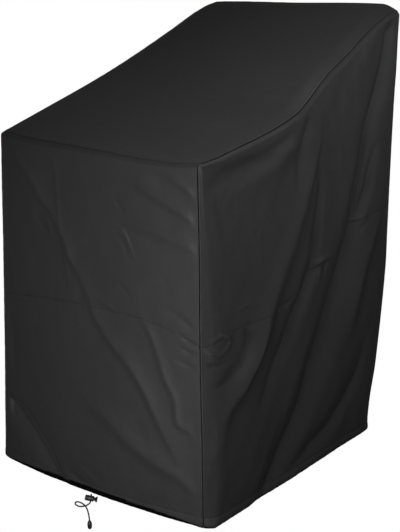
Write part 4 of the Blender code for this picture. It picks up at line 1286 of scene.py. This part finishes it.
def top_sheet():
    """The sloping top sheet, sewn to the walls just inside the ridge."""
    fine = np.linspace(0.0, 1.0, 3001)
    length = walked(seam_line(fine))
    p = np.interp(ladder(length[-1], FINE * 1.25), length, fine)
    length = walked(seam_line(1.0 + fine))
    q = np.interp(ladder(length[-1], FINE * 1.25), length, fine)
    P, Q = np.meshgrid(p, q)
    sheet = stretched(seam_line, P, Q)
    edge = [np.linalg.norm(sheet - sheet[:, :1], axis=2),
            np.linalg.norm(sheet - sheet[:, -1:], axis=2),
            np.linalg.norm(sheet - sheet[:1], axis=2),
            np.linalg.norm(sheet - sheet[-1:], axis=2)]
    nearest = np.minimum.reduce(edge)
    facing = np.cross(np.gradient(sheet, axis=1), np.gradient(sheet, axis=0))
    facing /= np.linalg.norm(facing, axis=2)[..., None]
    x, y = sheet[..., 0], sheet[..., 1]
    relief = top_relief(x, y, edge, nearest)
    share = np.clip(1.0 - nearest / SEAM_GROOVE, 0.0, 1.0)
    sheet = sheet - facing * relief[..., None]
    sheet[..., 2] -= RIDGE_GROOVE * share ** 2
    rows, count = sheet.shape[:2]
    # the edge of the grid in the order of the places round the walls
    index = np.arange(rows * count).reshape(rows, count)
    loop = np.concatenate([index[0, :-1], index[:-1, -1], index[-1, :0:-1], index[:0:-1, 0]])
    around = np.concatenate([p[:-1], 1.0 + q[:-1], 3.0 - p[:0:-1], 4.0 - q[:0:-1]]) % 4
    ring = sheet.reshape(-1, 3)[loop].copy()
    ring[:, :2] += ridge_normal(around) * SEAM_LAP
    ring[:, 2] -= SEAM_ALLOWANCE
    points = np.concatenate([sheet.reshape(-1, 3), ring])
    below = rows * count + np.arange(len(loop))
    turned = np.stack([loop, below, np.roll(below, -1), np.roll(loop, -1)], 1)
    quads = np.concatenate([grid_faces(rows, count), turned])
    flat = np.stack([x, np.broadcast_to(walked(sheet[:, count // 2])[:, None], x.shape)], 2)
    flat = flat.reshape(-1, 2)
    uv = np.concatenate([flat, flat[loop] + SEAM_ALLOWANCE])
    # painted shade in the groove along the top's seam, full painted shade on its turned allowance
    shade = np.concatenate([0.7 * share.ravel() ** 0.5, np.ones(len(loop))])
    piece = cloth_piece("top_cloth", points, quads, uv, shade)
    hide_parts("top_panel")
    return piece, sheet, edge, facing


def top_relief(x, y, edge, nearest):
    """Inward offset of the top sheet: its sag, the rim along the ridge and a few soft folds."""
    middle = ease(nearest / 0.16)
    relief = 0.0022 * middle
    slow = np.sin(2 * math.pi * (x / 0.52 + y / 0.9) + 0.6)
    slow += np.sin(2 * math.pi * (y / 0.37 - x / 0.8) + 1.9)
    relief += 0.0008 * slow * middle
    for number, distance in enumerate(edge):
        place = x if number > 1 else y
        rim = -0.0006 * np.exp(-((distance - 0.0050) / 0.0022) ** 2)
        groove = 0.0006 * np.exp(-((distance - STITCHES_ON_RIM) / 0.0016) ** 2)
        wave = 0.0005 * ripples(place, (0.024, 0.041, 0.067), 1.0 + number)
        relief += rim + groove + wave * np.exp(-np.abs(distance - 0.009) / 0.012)
    return relief


def build_cover():
    """All nine panels. Returns the walls' panels by name and the top sheet."""
    panels = {}
    for number, wall in enumerate(WALLS):
        for upper in (False, True):
            panels[wall, upper] = wall_panel(number, upper)
    return panels, top_sheet()


panels, (top_piece, top_points, top_edge, top_facing) = build_cover()


# Stitches ----------------------------------------------------------------------------------

STITCH_PITCH = 0.0042
STITCH_LENGTH = 0.0030
THREAD_RADIUS = 0.00028
# a stitch's rings: share of its length, share of the thread's radius, lift off the cloth
STITCH_FORM = ((0.0, 0.35, -0.00006), (0.25, 0.9, 0.00008), (0.75, 0.9, 0.00008),
               (1.0, 0.35, -0.00006))


def line_on(points, field, value):
    """The line on a grid of points where a field that grows or falls down the columns has a value."""
    line = []
    for column in range(points.shape[1]):
        f = field[:, column]
        order = np.argsort(f, kind="stable")
        if not f[order[0]] <= value <= f[order[-1]]:
            continue
        line.append([np.interp(value, f[order], points[order, column, axis]) for axis in range(3)])
    return np.array(line)


def stitch_rows(name, lines):
    """Rows of stitches along lines of points, each with the direction that it faces."""
    points, quads = [], []
    turns = np.arange(4) * math.pi / 2
    for line, outward in lines:
        line = line + np.array(HOLD)
        length = walked(line)
        starts = np.arange(0.004, length[-1] - 0.006, STITCH_PITCH)
        for start in starts:
            ends = [np.array([np.interp(start + share * STITCH_LENGTH, length, line[:, axis])
                              for axis in range(3)]) for share in (0.0, 1.0)]
            face = np.array([np.interp(start, length, outward[:, axis]) for axis in range(3)])
            face /= np.linalg.norm(face)
            ahead = (ends[1] - ends[0]) / np.linalg.norm(ends[1] - ends[0])
            side = np.cross(ahead, face)
            base = len(points)
            for share, width, lift in STITCH_FORM:
                centre = ends[0] + (ends[1] - ends[0]) * share + face * lift
                for turn in turns:
                    ring = side * math.cos(turn) + face * math.sin(turn)
                    points.append(centre + ring * THREAD_RADIUS * width)
            for ring in range(3):
                for k in range(4):
                    a, b = base + ring * 4 + k, base + ring * 4 + (k + 1) % 4
                    quads.append((a, b, b + 4, a + 4))
    mesh = mesh_of(name, points, quads)
    return add_piece(name, mesh, [THREAD], "cover")


def wall_facing(points):
    """Outward direction of the points of a wall, in plan."""
    ahead = np.gradient(points, axis=0)
    facing = np.stack([ahead[:, 1], -ahead[:, 0], np.zeros(len(points))], 1)
    return facing / np.linalg.norm(facing, axis=1)[:, None]


def build_stitches():
    """Rows over the cross seams and the hem's channel, beside the upright seams and on the rim."""
    sewn = {}
    for (wall, upper), panel in panels.items():
        lines = []
        level = panel.to_cross if upper else panel.rise
        line = line_on(panel.points, level, STITCHES_BESIDE_SEAM if upper else HEM_BAND)[2:-2]
        lines.append((line, wall_facing(line)))
        # beside the seams at the ends of the wall
        swapped = np.swapaxes(panel.points, 0, 1)
        for distance in panel.side_distance:
            upright = line_on(swapped, distance.T, STITCHES_BESIDE_SEAM)[2 if upper else 8:-2]
            corner = upright[len(upright) // 2]
            normal = nearest_facing(panel, corner)
            lines.append((upright, np.broadcast_to(normal, upright.shape)))
        sewn[wall, upper] = stitch_rows(f"{wall}_{'upper' if upper else 'lower'}_stitches", lines)
    lines = []
    for number, distance in enumerate(top_edge):
        grid, field, facing = top_points, distance, top_facing
        if number < 2:
            grid, field, facing = (np.swapaxes(a, 0, 1) for a in (grid, field, facing))
        line, face = (line_on(grid, field, STITCHES_ON_RIM),
                      line_on(facing, field, STITCHES_ON_RIM))
        lines.append((line[6:-6], face[6:-6]))
    sewn["top"] = stitch_rows("top_stitches", lines)
    return sewn


def nearest_facing(panel, place):
    """Outward direction of a panel near a place on it."""
    far = np.linalg.norm(panel.points - place, axis=2)
    row, column = np.unravel_index(far.argmin(), far.shape)
    column = min(max(column, 1), panel.points.shape[1] - 2)
    ahead = panel.points[row, column + 1] - panel.points[row, column - 1]
    facing = np.array([ahead[1], -ahead[0], 0.0])
    return facing / np.linalg.norm(facing)


stitches = build_stitches()

# Studio ------------------------------------------------------------------------------------


def build_floor():
    """A plain white floor under the cord end, which throws no light back on the cover."""
    level = cad_low.z - 0.004
    reach = 6.0
    corners = [(-reach, -reach, level), (reach, -reach, level), (reach, reach, level),
               (-reach, reach, level)]
    mesh = bpy.data.meshes.new("floor")
    mesh.from_pydata(corners, [], [(0, 1, 2, 3)])
    n = Nodes("floor", (1.0, 1.0, 1.0), 0.9)
    glow = n.add("ShaderNodeEmission")
    glow.inputs["Strength"].default_value = 1.0
    output = n.tree.nodes["Material Output"]
    n.link(glow.outputs[0], output.inputs["Surface"])
    mesh.materials.append(n.material)
    floor = bpy.data.objects.new("floor", mesh)
    bpy.context.scene.collection.objects.link(floor)
    floor.visible_diffuse = False
    floor.visible_glossy = False
    floor.visible_shadow = False


WORLD_LIGHT = 0.015
WORLD_RAMP = ((0.35, 0.05), (0.75, 1.0))


def build_world():
    """White behind the object, and a dim even light on it that is darker from below."""
    world = bpy.data.worlds.new("studio")
    bpy.context.scene.world = world
    world.use_nodes = True
    tree = world.node_tree
    tree.nodes.clear()
    add, link = tree.nodes.new, tree.links.new
    output, mixed = add("ShaderNodeOutputWorld"), add("ShaderNodeMixShader")
    path, seen = add("ShaderNodeLightPath"), add("ShaderNodeBackground")
    seen.inputs["Color"].default_value = (1.0, 1.0, 1.0, 1.0)
    lit = add("ShaderNodeBackground")
    lit.inputs["Strength"].default_value = WORLD_LIGHT
    place, split = add("ShaderNodeTexCoord"), add("ShaderNodeSeparateXYZ")
    ramp = add("ShaderNodeValToRGB")
    for stop, (position, grey) in zip(ramp.color_ramp.elements, WORLD_RAMP):
        stop.position = position
        stop.color = (grey, grey, grey, 1.0)
    height = add("ShaderNodeMapRange")
    height.inputs["From Min"].default_value = -1.0
    link(place.outputs["Generated"], split.inputs[0])
    link(split.outputs["Z"], height.inputs["Value"])
    link(height.outputs["Result"], ramp.inputs["Fac"])
    link(ramp.outputs["Color"], lit.inputs["Color"])
    link(path.outputs["Is Camera Ray"], mixed.inputs["Fac"])
    link(lit.outputs[0], mixed.inputs[1])
    link(seen.outputs[0], mixed.inputs[2])
    link(mixed.outputs[0], output.inputs["Surface"])


Softbox = namedtuple("Softbox", "name place size power")
# A fit to the photograph's tones chose these from 61 trial lights and gave their powers
LIGHTS_AIM = (0.05, -0.35, -0.6)
SOFTBOXES = [
    Softbox("strip", (0.5, -1.5, -0.6), (0.5, 1.5), 10.9),
    Softbox("left", (-1.025, -2.655, -1.141), (1.2, 1.2), 3.3),
    Softbox("right", (2.355, 0.725, -1.141), (1.2, 1.2), 4.0),
    Softbox("over", (0.400, -0.595, 0.575), (0.6, 0.6), 4.4),
    Softbox("back_low", (1.158, 0.167, -0.340), (0.6, 0.6), 0.66),
    Softbox("back_high", (0.918, 0.055, 0.203), (0.6, 0.6), 2.1),
]


def build_lights():
    """Six softboxes that the camera doesn't see."""
    for box in SOFTBOXES:
        data = bpy.data.lights.new(box.name, "AREA")
        data.shape = "RECTANGLE"
        data.size, data.size_y = box.size
        data.energy = box.power
        light = bpy.data.objects.new(box.name, data)
        light.location = box.place
        aim = Vector(LIGHTS_AIM) - Vector(box.place)
        light.rotation_mode = "QUATERNION"
        light.rotation_quaternion = aim.to_track_quat("-Z", "Y")
        light.visible_camera = False
        bpy.context.scene.collection.objects.link(light)


build_floor()
build_world()
build_lights()
scene = bpy.context.scene
scene.view_settings.view_transform = "Standard"
scene.view_settings.look = "None"
